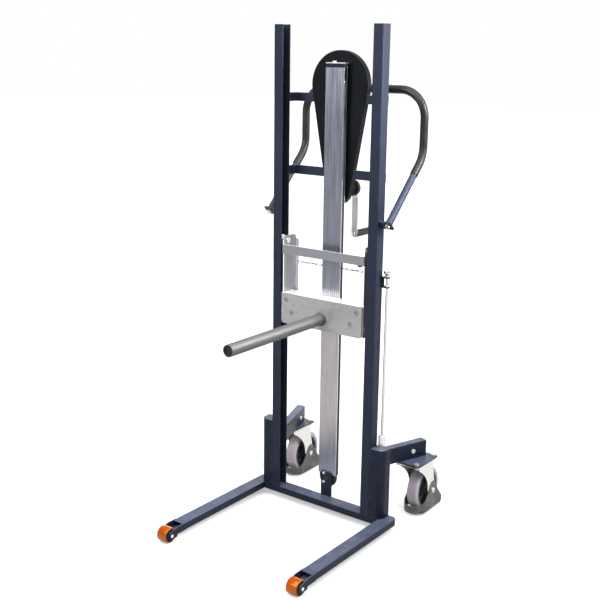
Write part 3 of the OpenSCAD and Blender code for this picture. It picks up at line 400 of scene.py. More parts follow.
def build_dust():
    """Pale dust on faces that look up."""
    group = GroupBuilder(
        "Dust",
        [("Colour", "Color", (0.1, 0.1, 0.1, 1)), ("Roughness", "Float", 0.4),
         ("Dust Colour", "Color", (0.42, 0.41, 0.4, 1)), ("Amount", "Float", 0.1),
         ("Dust Roughness", "Float", 0.9)],
        SURFACE_OUTPUTS,
    )
    normal = group.node("ShaderNodeNewGeometry").outputs["Normal"]
    upward = group.node("ShaderNodeSeparateXYZ", {0: normal}).outputs["Z"]
    patches = smooth_mask(group, place_noise(group, 14.0), 0.2, 0.9)
    mask = times(group, times(group, smooth_mask(group, upward, 0.4, 1.0), patches), group.inputs["Amount"])
    group.send_blend(mask, ("Colour", "Dust Colour"), ("Roughness", "Dust Roughness"))
    return group.tree


GROUPS = {}
GROUP_BUILDERS = {
    "mottle": build_mottle, "grain": build_grain, "hammered": build_hammer,
    "brushing": build_brushing, "edge_wear": build_edge_wear_and_highlight, "dust": build_dust,
    "height_tone": build_height_tone, "facing_tone": build_facing_tone,
}


def use_group(tree, name, links):
    """Places a shared group in a material, and builds it the first time."""
    if name not in GROUPS:
        GROUPS[name] = GROUP_BUILDERS[name]()
    made = tree.nodes.new("ShaderNodeGroup")
    made.node_tree = GROUPS[name]
    fill_sockets(tree, made, links)
    return made


# Materials

# How fine a metal's marks are along x, y and z, with the lowest number along the scratches
ALONG_X = (8.0, 520.0, 520.0)
ALONG_Y = (520.0, 8.0, 520.0)
ALONG_Z = (520.0, 520.0, 8.0)
ALL_WAYS = (260.0, 260.0, 260.0)
DRAWN = (150.0, 150.0, 5.0)
ROLLED = (70.0, 130.0, 130.0)
BANDED = (60.0, 60.0, 2.0)

# The axes of faces that take a painted highlight or sheen, and the colour of the painted highlight on cut
# faces
TOP_FACES = (0.0, 0.0, 1.0)
SIDE_FACES = (1.0, 0.0, 0.0)
TOP_AND_FRONT_FACES = (0.0, 0.9, 0.9)
HIGHLIGHT_COLOUR = (0.9, 0.9, 0.9)


def rgba(colour, factor=1.0):
    """A colour with full alpha, made lighter or darker by a factor."""
    return tuple(min(channel * factor, 1.0) for channel in colour) + (1.0,)


def new_material(slot, **shader_values):
    """A material for a slot with constants on its shader's own sockets, and the slot's colour."""
    material = bpy.data.materials.new(slot)
    material.use_nodes = True
    shader = material.node_tree.nodes["Principled BSDF"]
    colour = getattr(bpy.context.scene.lift_colours, slot)
    material.diffuse_color = rgba(colour)
    for name, value in shader_values.items():
        shader.inputs[name.replace("_", " ").title().replace("Ior", "IOR")].default_value = value
    return material, material.node_tree, colour


def wire_surface(tree, source, height, bump, distance=0.2 * MM):
    """Feeds the shader with a group's colour and roughness, and with a height as a bump."""
    relief = add_node(tree, "ShaderNodeBump", {"Height": height, "Strength": bump, "Distance": distance})
    fill_sockets(tree, tree.nodes["Principled BSDF"], {
        "Base Color": source.outputs["Colour"], "Roughness": source.outputs["Roughness"],
        "Normal": relief.outputs["Normal"],
    })


def surface_of(source):
    """Links that take on the colour and the roughness of another group."""
    return {name: source.outputs[name] for name in ("Colour", "Roughness")}


def add_mottle(tree, first, second, scale, gloss):
    """Slow changes between two colours and two roughnesses."""
    return use_group(tree, "mottle", {
        "Colour": first, "Second Colour": second, "Scale": scale,
        "Low Roughness": gloss[0], "High Roughness": gloss[1],
    })


def add_edge_wear_and_highlight(tree, source, bare, roughness, amount, width):
    """Worn paint on painted edges and a painted highlight on bare metal edges, over a group's surface."""
    return use_group(tree, "edge_wear", surface_of(source) | {
        "Bare Colour": bare, "Bare Roughness": roughness, "Amount": amount, "Width": width,
    })


def add_facing_tone(tree, source, colour, roughness, axis):
    """A painted highlight on the faces that look along an axis."""
    return use_group(tree, "facing_tone", surface_of(source) | {
        "Facing Colour": colour, "Facing Roughness": roughness, "Axis": axis,
    })


def add_dust(tree, source, amount=1.0):
    """Dust over a group's surface."""
    amount *= bpy.context.scene.lift_detail.dust
    return use_group(tree, "dust", surface_of(source) | {"Amount": amount})


def grain_height(tree, scale, coarse_share):
    """Height of a fine grain over a coarser one."""
    links = {"Scale": scale, "Second Scale": scale * coarse_share}
    return use_group(tree, "grain", links).outputs["Height"]


def painted(slot, gloss=(0.26, 0.38), bare=(0.20, 0.21, 0.24), shine=0.09, tint=(0.62, 0.70, 1.0), wear=1.0,
            dust=1.0, shade=1.0, top=3.2):
    """Powder coat: an orange-peel grain, cloudy gloss, worn edges, a painted sheen on tops and a little dust.
    """
    material, tree, colour = new_material(slot, specular_ior_level=shine, specular_tint=rgba(tint))
    tone, worn_roughness, worn_width = 1.18, 0.35, 1.6 * MM
    worn_amount = bpy.context.scene.lift_detail.wear * wear
    coat = add_mottle(tree, rgba(colour, shade), rgba(colour, tone * shade), scale=5.0, gloss=gloss)
    worn = add_edge_wear_and_highlight(tree, coat, rgba(bare), worn_roughness, worn_amount, worn_width)
    # Painted sheen: faces that look up take the colour times top, a lighter copy that stands in for the light
    # from overhead
    top_sheen = add_facing_tone(tree, worn, rgba(colour, top), gloss[0], TOP_FACES)
    dusty = add_dust(tree, top_sheen, dust)
    wire_surface(tree, dusty, grain_height(tree, scale=420.0, coarse_share=0.3), bump=0.12)
    return material


def hammered(slot):
    """Hammered coat with dimples that catch the light."""
    material, tree, colour = new_material(slot, metallic=0.35, coat_weight=0.2, coat_roughness=0.2)
    # Dimple tone: partly the coat's own, partly painted shade in the hollows and a painted highlight on the
    # rims
    dark, pale = rgba(colour, 0.3), rgba(colour, 2.3)
    dimples = use_group(tree, "hammered", {"Scale": 100.0})
    links = {0: dimples.outputs["Tone"], 6: dark, 7: pale}
    tone = add_node(tree, "ShaderNodeMix", links, data_type="RGBA").outputs[2]
    coat = add_mottle(tree, tone, rgba(colour), scale=30.0, gloss=(0.34, 0.5))
    wire_surface(tree, add_dust(tree, coat), dimples.outputs["Height"], bump=0.5, distance=0.6 * MM)
    return material


def brushed(slot, stretch, gloss, tone=1.12, bump=0.06, metallic=1.0, wear=0.6, edge=1.35,
            edge_width=1.2 * MM, shade=1.0, faded=None, cut_faces=None):
    """Bare metal with scratches along one axis, edges brightened partly by polish and partly by a painted
    highlight, and, if asked, a painted light that changes with height and a painted highlight on cut faces.
    """
    material, tree, colour = new_material(slot, metallic=metallic)
    colour = tuple(channel * shade for channel in colour)
    edge_roughness = gloss[0] * 0.8
    metal = use_group(tree, "brushing", {
        "Stretch": stretch, "Low Roughness": gloss[0], "High Roughness": gloss[1],
        "Colour": rgba(colour), "Second Colour": rgba(colour, tone),
    })
    # For the column: a painted reflection and painted shade that change with height
    if faded is not None:
        for name, factor in (("Colour", 1.0), ("Second Colour", tone)):
            tree.links.new(faded(tree, colour, factor), metal.inputs[name])
    # Edges lighter by the edge factor: a painted highlight, partly polished metal
    surface = add_edge_wear_and_highlight(tree, metal, rgba(colour, edge), edge_roughness, wear, edge_width)
    # Faces turned to the light take a painted highlight
    if cut_faces is not None:
        surface = add_facing_tone(tree, surface, rgba(HIGHLIGHT_COLOUR), gloss[0], cut_faces)
    wire_surface(tree, surface, metal.outputs["Height"], bump)
    return material


def column_painted_light(tree, colour, factor):
    """The column's painted light by height: painted shade at the foot, a pale, warm painted reflection below
    the carriage, cool above it, and painted shade on top.
    """
    # Shares of the colour for the painted shade at the foot, the painted reflection below the carriage and
    # the painted shade on top
    foot, reflection_warmth, top = 1.15, (1.94, 1.67, 1.41), 0.82
    pale = tuple(channel * share * factor for channel, share in zip(colour, reflection_warmth))
    # Where each change starts and ends, in metres, and the tone above it
    changes = (
        (0.17, 0.42, rgba(pale)),
        (0.72, 1.00, rgba(colour, factor)),
        (1.15, 1.50, rgba(colour, top * factor)),
    )
    tone = rgba(colour, foot * factor)
    for low, high, upper in changes:
        links = {"Low Height": low, "High Height": high, "Low Colour": tone, "High Colour": upper}
        tone = use_group(tree, "height_tone", links).outputs["Colour"]
    return tone


def moulded(slot, gloss, grain=700.0, bump=0.2, tone=1.25, dust=1.0, **shader_values):
    """Rubber or plastic with a fine moulded skin."""
    material, tree, colour = new_material(slot, **shader_values)
    base = add_mottle(tree, rgba(colour), rgba(colour, tone), scale=18.0, gloss=gloss)
    wire_surface(tree, add_dust(tree, base, dust), grain_height(tree, grain, coarse_share=0.2), bump)
    return material


# Satin aluminium whose top faces take a painted highlight
SATIN_ALUMINIUM = {
    "gloss": (0.3, 0.36), "tone": 1.06, "bump": 0.03, "metallic": 0.7, "cut_faces": TOP_FACES,
}
# top paints a lighter sheen on upward paint, edge a painted highlight on metal edges, cut_faces a painted
# highlight on faces turned to the light
FINISHES = {
    "frame_paint": (painted, {}),
    # A darker copy of the frame paint: painted shade on the crossbars behind the masts
    "shaded_paint": (painted, {"gloss": (0.4, 0.5), "wear": 0.5, "shade": 0.95}),
    "cap_paint": (painted, {"gloss": (0.4, 0.5), "wear": 0.5, "shade": 0.5}),
    # A darker copy of the frame paint: painted shade on the lower frame
    "shaded_low_paint": (painted, {"bare": (0.34, 0.35, 0.40), "wear": 2.4, "shade": 0.72}),
    "handle_paint": (painted, {"gloss": (0.4, 0.52), "shine": 0.16, "top": 1.0}),
    "black_paint": (painted, {
        "gloss": (0.24, 0.34), "bare": (0.08, 0.08, 0.08), "shine": 0.05, "top": 2.0,
        "tint": (0.9, 0.93, 1.0), "wear": 0.7, "dust": 0.1,
    }),
    "dark_steel": (brushed, {"stretch": ALL_WAYS, "gloss": (0.35, 0.5), "metallic": 0.9}),
    # The column: its bright edges and side faces are a painted highlight, and its tone by height is a painted
    # reflection and painted shade
    "column_aluminium": (brushed, {
        "stretch": DRAWN, "gloss": (0.24, 0.38), "tone": 1.3, "bump": 0.05, "wear": 1.0, "edge": 2.6,
        "edge_width": 2.0 * MM, "faded": column_painted_light, "cut_faces": SIDE_FACES,
    }),
    "carriage_aluminium": (brushed, {"stretch": ALONG_Z, **SATIN_ALUMINIUM}),
    "bar_aluminium": (brushed, {"stretch": ALONG_X, **SATIN_ALUMINIUM}),
    "side_aluminium": (brushed, {
        "stretch": BANDED, "gloss": (0.28, 0.36), "tone": 1.9, "bump": 0.03, "metallic": 0.7, "shade": 0.8,
        "cut_faces": TOP_AND_FRONT_FACES,
    }),
    "plate_steel": (brushed, {
        "stretch": ROLLED, "gloss": (0.40, 0.58), "tone": 1.35, "bump": 0.2, "metallic": 0.75,
        "cut_faces": TOP_FACES,
    }),
    "ram_steel": (brushed, {
        "stretch": ALONG_Y, "gloss": (0.5, 0.64), "tone": 1.35, "metallic": 0.7, "shade": 0.36,
    }),
    "wire_steel": (brushed, {"stretch": ALL_WAYS, "gloss": (0.4, 0.5), "metallic": 0.9, "shade": 0.4}),
    "weld_steel": (brushed, {"stretch": ALL_WAYS, "gloss": (0.4, 0.55), "tone": 1.3, "shade": 0.35}),
    "machined_steel": (brushed, {"stretch": ALONG_X, "gloss": (0.22, 0.36), "cut_faces": TOP_FACES}),
    "zinc": (brushed, {"stretch": ALL_WAYS, "gloss": (0.2, 0.3), "tone": 1.05, "bump": 0.03}),
    "crank_zinc": (brushed, {
        "stretch": ALONG_Z, "gloss": (0.26, 0.36), "tone": 1.05, "bump": 0.03, "shade": 0.65,
    }),
    "screw_zinc": (brushed, {
        "stretch": ALL_WAYS, "gloss": (0.3, 0.4), "tone": 1.1, "bump": 0.03, "shade": 0.42, "edge": 2.0,
    }),
    "bolt_zinc": (brushed, {
        "stretch": ALL_WAYS, "gloss": (0.18, 0.26), "tone": 1.1, "bump": 0.03, "metallic": 0.6, "shade": 0.6,
        "edge": 1.6,
    }),
    "black_plastic": (moulded, {"gloss": (0.4, 0.52), "specular_ior_level": 0.15}),
    "black_rubber": (moulded, {
        "gloss": (0.36, 0.46), "grain": 900.0, "bump": 0.3, "dust": 0.2,
        "specular_ior_level": 0.18, "specular_tint": (1.0, 0.88, 0.92, 1.0),
    }),
    "belt": (moulded, {"gloss": (0.5, 0.62), "grain": 1200.0, "bump": 0.35, "dust": 0.4}),
    "roller_plastic": (moulded, {"gloss": (0.3, 0.42), "bump": 0.05, "tone": 1.02}),
    "orange_polyurethane": (moulded, {
        "gloss": (0.12, 0.2), "grain": 200.0, "bump": 0.05, "tone": 1.3, "dust": 0.1,
        "subsurface_weight": 0.05, "subsurface_scale": 6.0 * MM,
        "specular_ior_level": 0.8, "specular_tint": (1.0, 0.7, 0.15, 1.0),
    }),
    "grey_rubber": (moulded, {"gloss": (0.42, 0.56), "grain": 500.0, "bump": 0.12, "tone": 1.12}),
    "hub_plastic": (moulded, {"gloss": (0.4, 0.55), "specular_ior_level": 0.25}),
    "guard_grey": (hammered, {}),
}
OWN_FINISH = {
    "posts": "shaded_low_paint", "cross_member": "shaded_low_paint", "foot_bracket": "shaded_low_paint",
    "leg_left": "shaded_low_paint", "leg_right": "shaded_low_paint",
    "caster_arm_left": "shaded_low_paint", "caster_arm_right": "shaded_low_paint",
    "crossbars": "shaded_paint", "column_cap": "cap_paint", "ram_tube": "ram_steel",
    "side_plate_left": "side_aluminium", "side_plate_right": "side_aluminium",
    "crank_arm": "crank_zinc", "plate_screws": "screw_zinc", "top_bar": "bar_aluminium",
    "frame_bolts": "bolt_zinc",
}
MATERIALS = {}


def finish(slot, kind=None):
    """The material of a slot, or of one kind of finish in it, made once."""
    kind = kind or slot
    if kind not in MATERIALS:
        make, settings = FINISHES[kind]
        MATERIALS[kind] = make(slot, **settings)
    return MATERIALS[kind]


def dress(names, edge, segments=2):
    """Gives frame nodes their finish, joins their split corners and rounds their edges."""
    for name in names:
        node = NODES[name]
        node.data.materials.clear()
        node.data.materials.append(finish(NODE_SLOT[name], OWN_FINISH.get(name)))
        if edge <= 0.0:
            continue
        join = node.modifiers.new("Join corners", "WELD")
        join.merge_threshold = JOIN_GAP
        rounding = node.modifiers.new("Round edges", "BEVEL")
        rounding.width = edge
        rounding.segments = segments
        rounding.limit_method = "ANGLE"
        rounding.angle_limit = ROUND_ABOVE
        rounding.harden_normals = True
        rounding.miter_outer = "MITER_ARC"


def on_both(*names):
    """Left and right names of pairs."""
    return [f"{name}_{side}" for name in names for side in SIDES]


# Mesh helpers


def add_piece(name, mesh, slot, body, kind=None):
    """Puts a finished mesh in the scene, smooth but for its hard edges, and ties it to its body."""
    piece = bpy.data.objects.new(name, mesh)
    bpy.context.scene.collection.objects.link(piece)
    mesh.materials.append(finish(slot, kind))
    mesh.shade_smooth()
    mesh.set_sharp_from_angle(angle=SHARP_ABOVE)
    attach(piece, body)
    return piece


def mesh_from(build):
    """A mesh made by a function that fills a bmesh."""
    work = bmesh.new()
    build(work)
    bmesh.ops.recalc_face_normals(work, faces=work.faces)
    mesh = bpy.data.meshes.new("piece")
    work.to_mesh(mesh)
    work.free()
    return mesh


def angles_round(steps):
    """Angles of equal steps once round a circle."""
    return [2 * math.pi * step / steps for step in range(steps)]


def sweep(work, points, radii, sides, closed=False):
    """Skins a round tube of changing radius along points."""
    count = len(points)
    rings = []
    side_way = None
    for index, point in enumerate(points):
        after = points[(index + 1) % count] if closed or index + 1 < count else point
        before = points[index - 1] if closed or index else point
        way = (after - before).normalized()
        side_way = way.orthogonal() if side_way is None else side_way - way * side_way.dot(way)
        side_way.normalize()
        up_way = way.cross(side_way)
        outward = [side_way * math.cos(angle) + up_way * math.sin(angle) for angle in angles_round(sides)]
        rings.append([work.verts.new(point + out * radii[index]) for out in outward])
    for index in range(count if closed else count - 1):
        low, high = rings[index], rings[(index + 1) % count]
        for step in range(sides):
            after = (step + 1) % sides
            work.faces.new((low[step], low[after], high[after], high[step]))
    if not closed:
        work.faces.new(rings[0])
        work.faces.new(rings[-1])


def swell(index, amount):
    """How much wider or narrower a weld is than its radius at one step along its ripples."""
    return 1 + amount * math.sin(2 * math.pi * index / RIPPLE_STEPS)


def seam(work, start, end, radius, pitch):
    """A rippled weld seam along a straight line, half sunk in its corner and thin at its ends."""
    start, end = Vector(start), Vector(end)
    thin, growth = 0.3, 8
    steps = max(int((end - start).length / pitch * RIPPLE_STEPS), 2 * RIPPLE_STEPS)
    points, radii = [], []
    for index in range(steps + 1):
        share = index / steps
        taper = min(1.0, thin + growth * share, thin + growth * (1 - share))
        points.append(start.lerp(end, share))
        radii.append(radius * taper * swell(index, 0.1))
    sweep(work, points, radii, WELD_SIDES)


def upright_ring(centre, radius, steps):
    """Points on a circle that faces the front."""
    ways = [Vector((math.cos(angle), 0.0, math.sin(angle))) for angle in angles_round(steps)]
    return [centre + way * radius for way in ways]


def island_centres(name):
    """Middles of the separate solids in a frame node, read from its mesh."""
    work = bmesh.new()
    work.from_mesh(NODES[name].data)
    work.transform(NODES[name].matrix_world)
    bmesh.ops.remove_doubles(work, verts=work.verts, dist=JOIN_GAP)
    left = set(work.verts)
    centres = []
    while left:
        island, waiting = set(), [next(iter(left))]
        while waiting:
            vert = waiting.pop()
            if vert not in island:
                island.add(vert)
                waiting.extend(edge.other_vert(vert) for edge in vert.link_edges)
        left -= island
        low = Vector([min(vert.co[axis] for vert in island) for axis in range(3)])
        high = Vector([max(vert.co[axis] for vert in island) for axis in range(3)])
        centres.append((low + high) / 2)
    work.free()
    return sorted(centres, key=lambda centre: (round(centre.x, 4), round(centre.z, 4)))


# Operators, one for each group of like pieces


class LIFT_OT_frame(bpy.types.Operator):
    """Paint the masts, legs, posts, arms and crossbars"""

    bl_idname = "lift.frame"
    bl_label = "Painted frame"

    def execute(self, context):
        detail = context.scene.lift_detail
        dress(on_both("mast", "leg", "caster_arm") + ["cross_member", "posts", "crossbars"], detail.tube_edge)
        dress(["foot_bracket", "column_cap", "cap_strap"], detail.plate_edge)
        dress(["arm_end_caps"], detail.moulded_edge)
        return {"FINISHED"}


class LIFT_OT_welds(bpy.types.Operator):
    """Lay the weld seams of the frame"""

    bl_idname = "lift.welds"
    bl_label = "Weld seams"

    def execute(self, context):
        detail = context.scene.lift_detail
        lines = self.post_lines() + self.crossbar_lines() + self.leg_lines()

        def build(work):
            for start, end in lines:
                seam(work, start, end, detail.weld_radius, detail.weld_pitch)

        add_piece("frame_welds", mesh_from(build), "frame_paint", "chassis")
        return {"FINISHED"}

    @staticmethod
    def post_lines():
        """Upright seams between each mast and its post, on the rear."""
        low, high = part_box("posts")
        mast_width, foot_gap, top_gap = 40.0 * MM, 10.0 * MM, 4.0 * MM
        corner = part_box("mast_right")[0].x + mast_width
        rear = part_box("mast_right")[1].y
        return [
            ((side * corner, rear, low.z + foot_gap), (side * corner, rear, high.z - top_gap))
            for side in (-1, 1)
        ]

    @staticmethod
    def crossbar_lines():
        """Seams along the ends of the crossbars on the masts' rear faces."""
        low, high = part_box("crossbars")
        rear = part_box("mast_right")[1].y
        bar_height = 32.0 * MM
        lines = []
        for side in (-1, 1):
            for base in (low.z, high.z - bar_height):
                lines.append(((side * high.x, rear, base), (side * high.x, rear, base + bar_height)))
        return lines

    @staticmethod
    def leg_lines():
        """Seams where the cross member meets the legs."""
        low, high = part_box("cross_member")
        end_gap = 4.0 * MM
        return [
            ((side * high.x, low.y + end_gap, high.z), (side * high.x, high.y - end_gap, high.z))
            for side in (-1, 1)
        ]


class LIFT_OT_column(bpy.types.Operator):
    """Finish the column, its belt and its pulleys"""

    bl_idname = "lift.column"
    bl_label = "Column and belt"

    def execute(self, context):
        detail = context.scene.lift_detail
        dress(["column"], detail.column_edge)
        dress(["lifting_belt", "top_pulley", "bottom_pulley", "pulley_pin"], detail.turned_edge)
        return {"FINISHED"}


class LIFT_OT_drive(bpy.types.Operator):
    """Finish the drive cover and what turns in it"""

    bl_idname = "lift.drive"
    bl_label = "Drive and cover"

    def execute(self, context):
        detail = context.scene.lift_detail
        dress(["cover_front", "cover_rear"], detail.plate_edge)
        dress(["shaft_bearings", "drive_wheel", "drive_chain"], detail.turned_edge)
        return {"FINISHED"}


class LIFT_OT_crank(bpy.types.Operator):
    """Finish the crank, its brake and its grip"""

    bl_idname = "lift.crank"
    bl_label = "Crank"

    def execute(self, context):
        detail = context.scene.lift_detail
        dress(["crank_shaft", "brake_disc", "crank_fasteners"], detail.turned_edge)
        dress(["crank_arm"], detail.plate_edge)
        dress(["crank_grip"], detail.turned_edge)
        return {"FINISHED"}


class LIFT_OT_carriage(bpy.types.Operator):
    """Finish the carriage, its load plate and the ram"""

    bl_idname = "lift.carriage"
    bl_label = "Carriage"

    def execute(self, context):
        detail = context.scene.lift_detail
        dress(on_both("side_plate") + ["top_bar", "belt_clamp"], detail.plate_edge)
        dress(["load_plate"], detail.load_plate_edge)
        dress(["plate_screws", "ram_tube", "ram_plug", "stop_buffer", "roller_pins"], detail.turned_edge)
        dress(["upper_guide_rollers", "lower_guide_rollers"], detail.turned_edge)
        self.ram_weld(detail)
        self.ledge()
        self.screw_rings()
        return {"FINISHED"}

    @staticmethod
    def ram_weld(detail):
        """A rippled ring where the ram meets the load plate."""
        low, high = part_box("ram_tube")
        plate_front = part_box("load_plate")[0].y
        stand_off, sunk, steps = 1.2 * MM, 1.6 * MM, 120
        centre = Vector((0.0, plate_front - stand_off, (low.z + high.z) / 2))
        points = upright_ring(centre, (high.x - low.x) / 2 - sunk, steps)
        radii = [detail.weld_radius * swell(index, 0.12) for index in range(steps)]
        mesh = mesh_from(lambda work: sweep(work, points, radii, WELD_SIDES, closed=True))
        add_piece("ram_weld", mesh, "plate_steel", "carriage", kind="weld_steel")

    @staticmethod
    def ledge():
        """The thin ledge between the load plate and the column, along the plate's top edge."""
        low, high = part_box("load_plate")
        column_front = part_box("column")[0].y
        thick, gap, inset, drop, rounding = 3.0 * MM, 1.5 * MM, 2.0 * MM, 0.5 * MM, 0.5 * MM
        size = Vector((high.x - low.x - 2 * inset, column_front - gap - high.y, thick))
        centre = Vector((0.0, high.y + size.y / 2, high.z - drop - thick / 2))

        def build(work):
            made = bmesh.ops.create_cube(work, size=1.0)
            for vert in made["verts"]:
                vert.co = centre + vert.co * size
            bmesh.ops.bevel(work, geom=work.edges[:], offset=rounding, segments=2, affect="EDGES")

        add_piece("plate_ledge", mesh_from(build), "carriage_aluminium", "carriage")

    @staticmethod
    def screw_rings():
        """A dark ring round each sunk screw head of the load plate: a painted shadow in the gap round the
        head.
        """
        spots = island_centres("plate_screws")
        plate_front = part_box("load_plate")[0].y
        ring_radius, ring_half, sunk, steps, sides = 8.6 * MM, 0.9 * MM, 0.45 * MM, 40, 8

        def build(work):
            for spot in spots:
                centre = Vector((spot.x, plate_front + sunk, spot.z))
                sweep(work, upright_ring(centre, ring_radius, steps), [ring_half] * steps, sides, closed=True)

        add_piece("plate_screw_rings", mesh_from(build), "dark_steel", "carriage")


class LIFT_OT_wire(bpy.types.Operator):
    """Make the loosely twisted wire behind the side plates"""

    bl_idname = "lift.wire"
    bl_label = "Catch wire"

    def execute(self, context):
        low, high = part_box("catch_wire")
        radius = (high.y - low.y) / 2
        swing = (high.z - low.z) / 2 - radius
        middle_y, middle_z = (low.y + high.y) / 2, (low.z + high.z) / 2
        strand_share, spacing, waves, steps = 0.8, 1.05, 4, 200
        strand = radius * strand_share
        sides = context.scene.lift_detail.wire_sides

        def build(work):
            for way in (-1, 1):
                points = []
                for index in range(steps + 1):
                    turn = index / steps * waves * 2 * math.pi
                    points.append(Vector((
                        low.x + (high.x - low.x) * index / steps,
                        middle_y + way * strand * spacing * math.cos(turn),
                        middle_z + way * (swing + radius - strand) * math.sin(turn),
                    )))
                sweep(work, points, [strand] * len(points), sides)

        wire = add_piece("catch_wire_strands", mesh_from(build), "dark_steel", "carriage", kind="wire_steel")
        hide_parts("catch_wire")
        return {"FINISHED"}


class LIFT_OT_handle(bpy.types.Operator):
    """Finish the handlebar, its grip and the pull rod"""

    bl_idname = "lift.handle"
    bl_label = "Handlebar and rod"

    def execute(self, context):
        detail = context.scene.lift_detail
        dress(["handlebar", "handle_grip"], 0.0)
        dress(["rod_keeper"], detail.plate_edge)
        dress(["pull_rod"], detail.turned_edge)
        return {"FINISHED"}


class LIFT_OT_rollers(bpy.types.Operator):
    """Finish the front rollers and their axles"""

    bl_idname = "lift.rollers"
    bl_label = "Front rollers"

    def execute(self, context):
        detail = context.scene.lift_detail
        dress(on_both("front_roller"), detail.moulded_edge)
        dress(on_both("roller_core") + ["roller_axles"], detail.turned_edge)
        return {"FINISHED"}


class LIFT_OT_casters(bpy.types.Operator):
    """Finish the casters: forks, wheels, axles and foot guards"""

    bl_idname = "lift.casters"
    bl_label = "Casters"

    def execute(self, context):
        detail = context.scene.lift_detail
        dress(["swivel_plates"] + on_both("caster_fork", "caster_guard"), detail.plate_edge)
        dress(on_both("caster_axle"), detail.turned_edge)
        dress(on_both("wheel_tread", "wheel_hub"), detail.wheel_edge)
        return {"FINISHED"}


class LIFT_OT_fasteners(bpy.types.Operator):
    """Finish the bolts of the frame"""

    bl_idname = "lift.fasteners"
    bl_label = "Bolts"

    def execute(self, context):
        dress(["frame_bolts"], context.scene.lift_detail.bolt_edge, segments=3)
        return {"FINISHED"}


# Name, place, the point it looks at, width and height, and spread in degrees
SOFT_LIGHTS = (
    ("side", (2.3, 0.5, 2.7), (0.3, 0.1, 2.1), (0.8, 1.2), 80.0),
    ("rear", (1.9, 2.1, 1.9), (0.0, 0.1, 1.6), (0.8, 1.2), 180.0),
    ("backdrop", (-3.0, 4.0, 1.0), (0.0, 0.0, 0.9), (6.0, 2.4), 180.0),
    ("front", (-1.5, -3.4, 3.2), (0.0, 0.0, 1.9), (1.6, 1.6), 50.0),
)


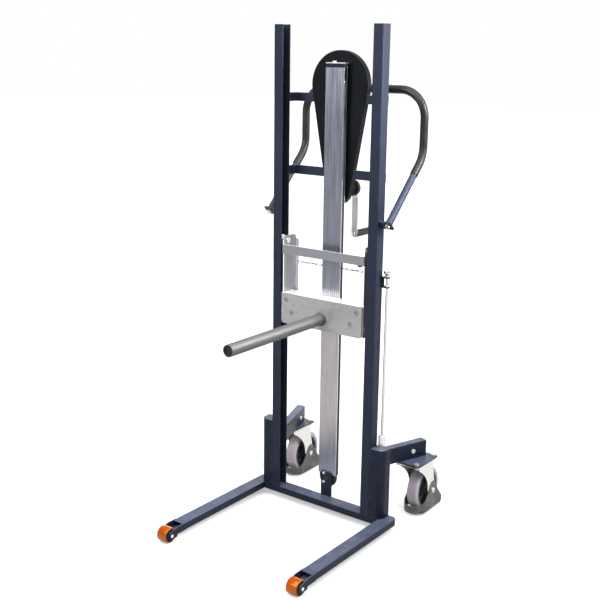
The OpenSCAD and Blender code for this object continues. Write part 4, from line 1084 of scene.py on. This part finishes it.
class LIFT_OT_stage(bpy.types.Operator):
    """Set up the floor, the soft light and the camera"""

    bl_idname = "lift.stage"
    bl_label = "Stage"

    def execute(self, context):
        stage = context.scene.lift_stage
        self.floor(stage)
        self.world(stage)
        self.top_light(stage)
        for name, *aim in SOFT_LIGHTS:
            self.soft_light(name, getattr(stage, f"{name}_power"), *aim)
        self.camera(stage)
        context.scene.view_settings.view_transform = "Standard"
        return {"FINISHED"}

    @staticmethod
    def floor(stage):
        """A wide pale floor that glows a little to the camera alone."""
        half, cells = 30.0, 8

        def build(work):
            bmesh.ops.create_grid(work, x_segments=cells, y_segments=cells, size=half)

        mesh = mesh_from(build)
        floor = bpy.data.objects.new("floor", mesh)
        bpy.context.scene.collection.objects.link(floor)
        material = bpy.data.materials.new("floor")
        material.use_nodes = True
        tree = material.node_tree
        seen = add_node(tree, "ShaderNodeLightPath", {}).outputs["Is Camera Ray"]
        links = {0: seen, 6: rgba((0.0, 0.0, 0.0)), 7: rgba(stage.floor_glow)}
        glow = add_node(tree, "ShaderNodeMix", links, data_type="RGBA").outputs[2]
        fill_sockets(tree, tree.nodes["Principled BSDF"], {
            "Base Color": rgba(stage.floor_colour), "Roughness": 0.9, "Specular IOR Level": 0.1,
            "Emission Color": glow, "Emission Strength": 1.0,
        })
        mesh.materials.append(material)

    @staticmethod
    def world(stage):
        """Even light from all round, in a room that looks white to the camera."""
        world = bpy.data.worlds.new("studio")
        world.use_nodes = True
        tree = world.node_tree
        background = tree.nodes["Background"]
        seen = add_node(tree, "ShaderNodeLightPath", {}).outputs["Is Camera Ray"]
        strength = add_node(tree, "ShaderNodeMix", {0: seen, 2: stage.room_light, 3: 1.0}, data_type="FLOAT")
        fill_sockets(tree, background, {"Color": rgba((1.0, 1.0, 1.0)), "Strength": strength.outputs[0]})
        bpy.context.scene.world = world

    @staticmethod
    def top_light(stage):
        """A broad light from overhead, a little to the front and the right."""
        forward, sideways = math.radians(18.0), math.radians(10.0)
        lamp = bpy.data.lights.new("top", "SUN")
        lamp.energy = stage.sky_power
        lamp.angle = stage.sky_angle
        holder = bpy.data.objects.new("top", lamp)
        holder.rotation_euler = (forward, sideways, 0.0)
        bpy.context.scene.collection.objects.link(holder)

    @staticmethod
    def soft_light(name, power, place, target, size, spread):
        """An area light that looks at a point, out of the camera's sight."""
        lamp = bpy.data.lights.new(name, "AREA")
        lamp.energy = power
        lamp.shape = "RECTANGLE"
        lamp.size, lamp.size_y = size
        lamp.spread = math.radians(spread)
        holder = bpy.data.objects.new(name, lamp)
        holder.location = place
        holder.rotation_euler = (Vector(target) - Vector(place)).to_track_quat("-Z", "Y").to_euler()
        holder.visible_camera = False
        bpy.context.scene.collection.objects.link(holder)

    @staticmethod
    def camera(stage):
        """The photograph's point of view."""
        turn, dip, roll = stage.camera_turn, stage.camera_dip, stage.camera_roll
        back = Vector((math.sin(turn) * math.cos(dip), -math.cos(turn) * math.cos(dip), math.sin(dip)))
        level = Vector((math.cos(turn), math.sin(turn), 0.0))
        upright = back.cross(level)
        right = level * math.cos(roll) + upright * math.sin(roll)
        up = upright * math.cos(roll) - level * math.sin(roll)
        data = bpy.data.cameras.new("camera")
        data.lens = stage.focal_length
        data.sensor_width = 36.0
        data.clip_end = 200.0
        camera = bpy.data.objects.new("camera", data)
        turned = Matrix((right, up, back)).transposed().to_4x4()
        camera.matrix_world = Matrix.Translation(Vector(stage.camera_place)) @ turned
        bpy.context.scene.collection.objects.link(camera)
        bpy.context.scene.camera = camera


STEPS = (
    LIFT_OT_stage, LIFT_OT_frame, LIFT_OT_welds, LIFT_OT_column, LIFT_OT_drive, LIFT_OT_crank,
    LIFT_OT_carriage, LIFT_OT_wire, LIFT_OT_handle, LIFT_OT_rollers, LIFT_OT_casters, LIFT_OT_fasteners,
)


class LIFT_PT_panel(bpy.types.Panel):
    """Lists the lift's settings and steps"""

    bl_label = "Material lift"
    bl_space_type = "VIEW_3D"
    bl_region_type = "UI"
    bl_category = "Material lift"

    def draw(self, context):
        for step in STEPS:
            self.layout.operator(step.bl_idname)
        for settings in (context.scene.lift_colours, context.scene.lift_detail, context.scene.lift_stage):
            column = self.layout.column()
            for name in settings.bl_rna.properties.keys():
                if name not in {"rna_type", "name"}:
                    column.prop(settings, name)


SETTINGS = {"lift_colours": LiftColours, "lift_detail": LiftDetail, "lift_stage": LiftStage}


def register():
    """Registers the classes and hangs their settings on the scene."""
    for group in SETTINGS.values():
        bpy.utils.register_class(group)
    for operator in STEPS:
        bpy.utils.register_class(operator)
    bpy.utils.register_class(LIFT_PT_panel)
    for name, group in SETTINGS.items():
        setattr(bpy.types.Scene, name, PointerProperty(type=group))


def unregister():
    """Takes the settings and the classes away again."""
    for name in SETTINGS:
        delattr(bpy.types.Scene, name)
    bpy.utils.unregister_class(LIFT_PT_panel)
    for operator in reversed(STEPS):
        bpy.utils.unregister_class(operator)
    for group in SETTINGS.values():
        bpy.utils.unregister_class(group)


def run_step(step):
    """Calls an operator by its name."""
    family, name = step.bl_idname.split(".")
    if "FINISHED" not in getattr(getattr(bpy.ops, family), name)():
        raise RuntimeError(f"{step.bl_label} didn't finish")


def main():
    """Builds the dressed lift."""
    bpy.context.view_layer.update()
    register()
    for step in STEPS:
        run_step(step)


if __name__ == "__main__":
    main()
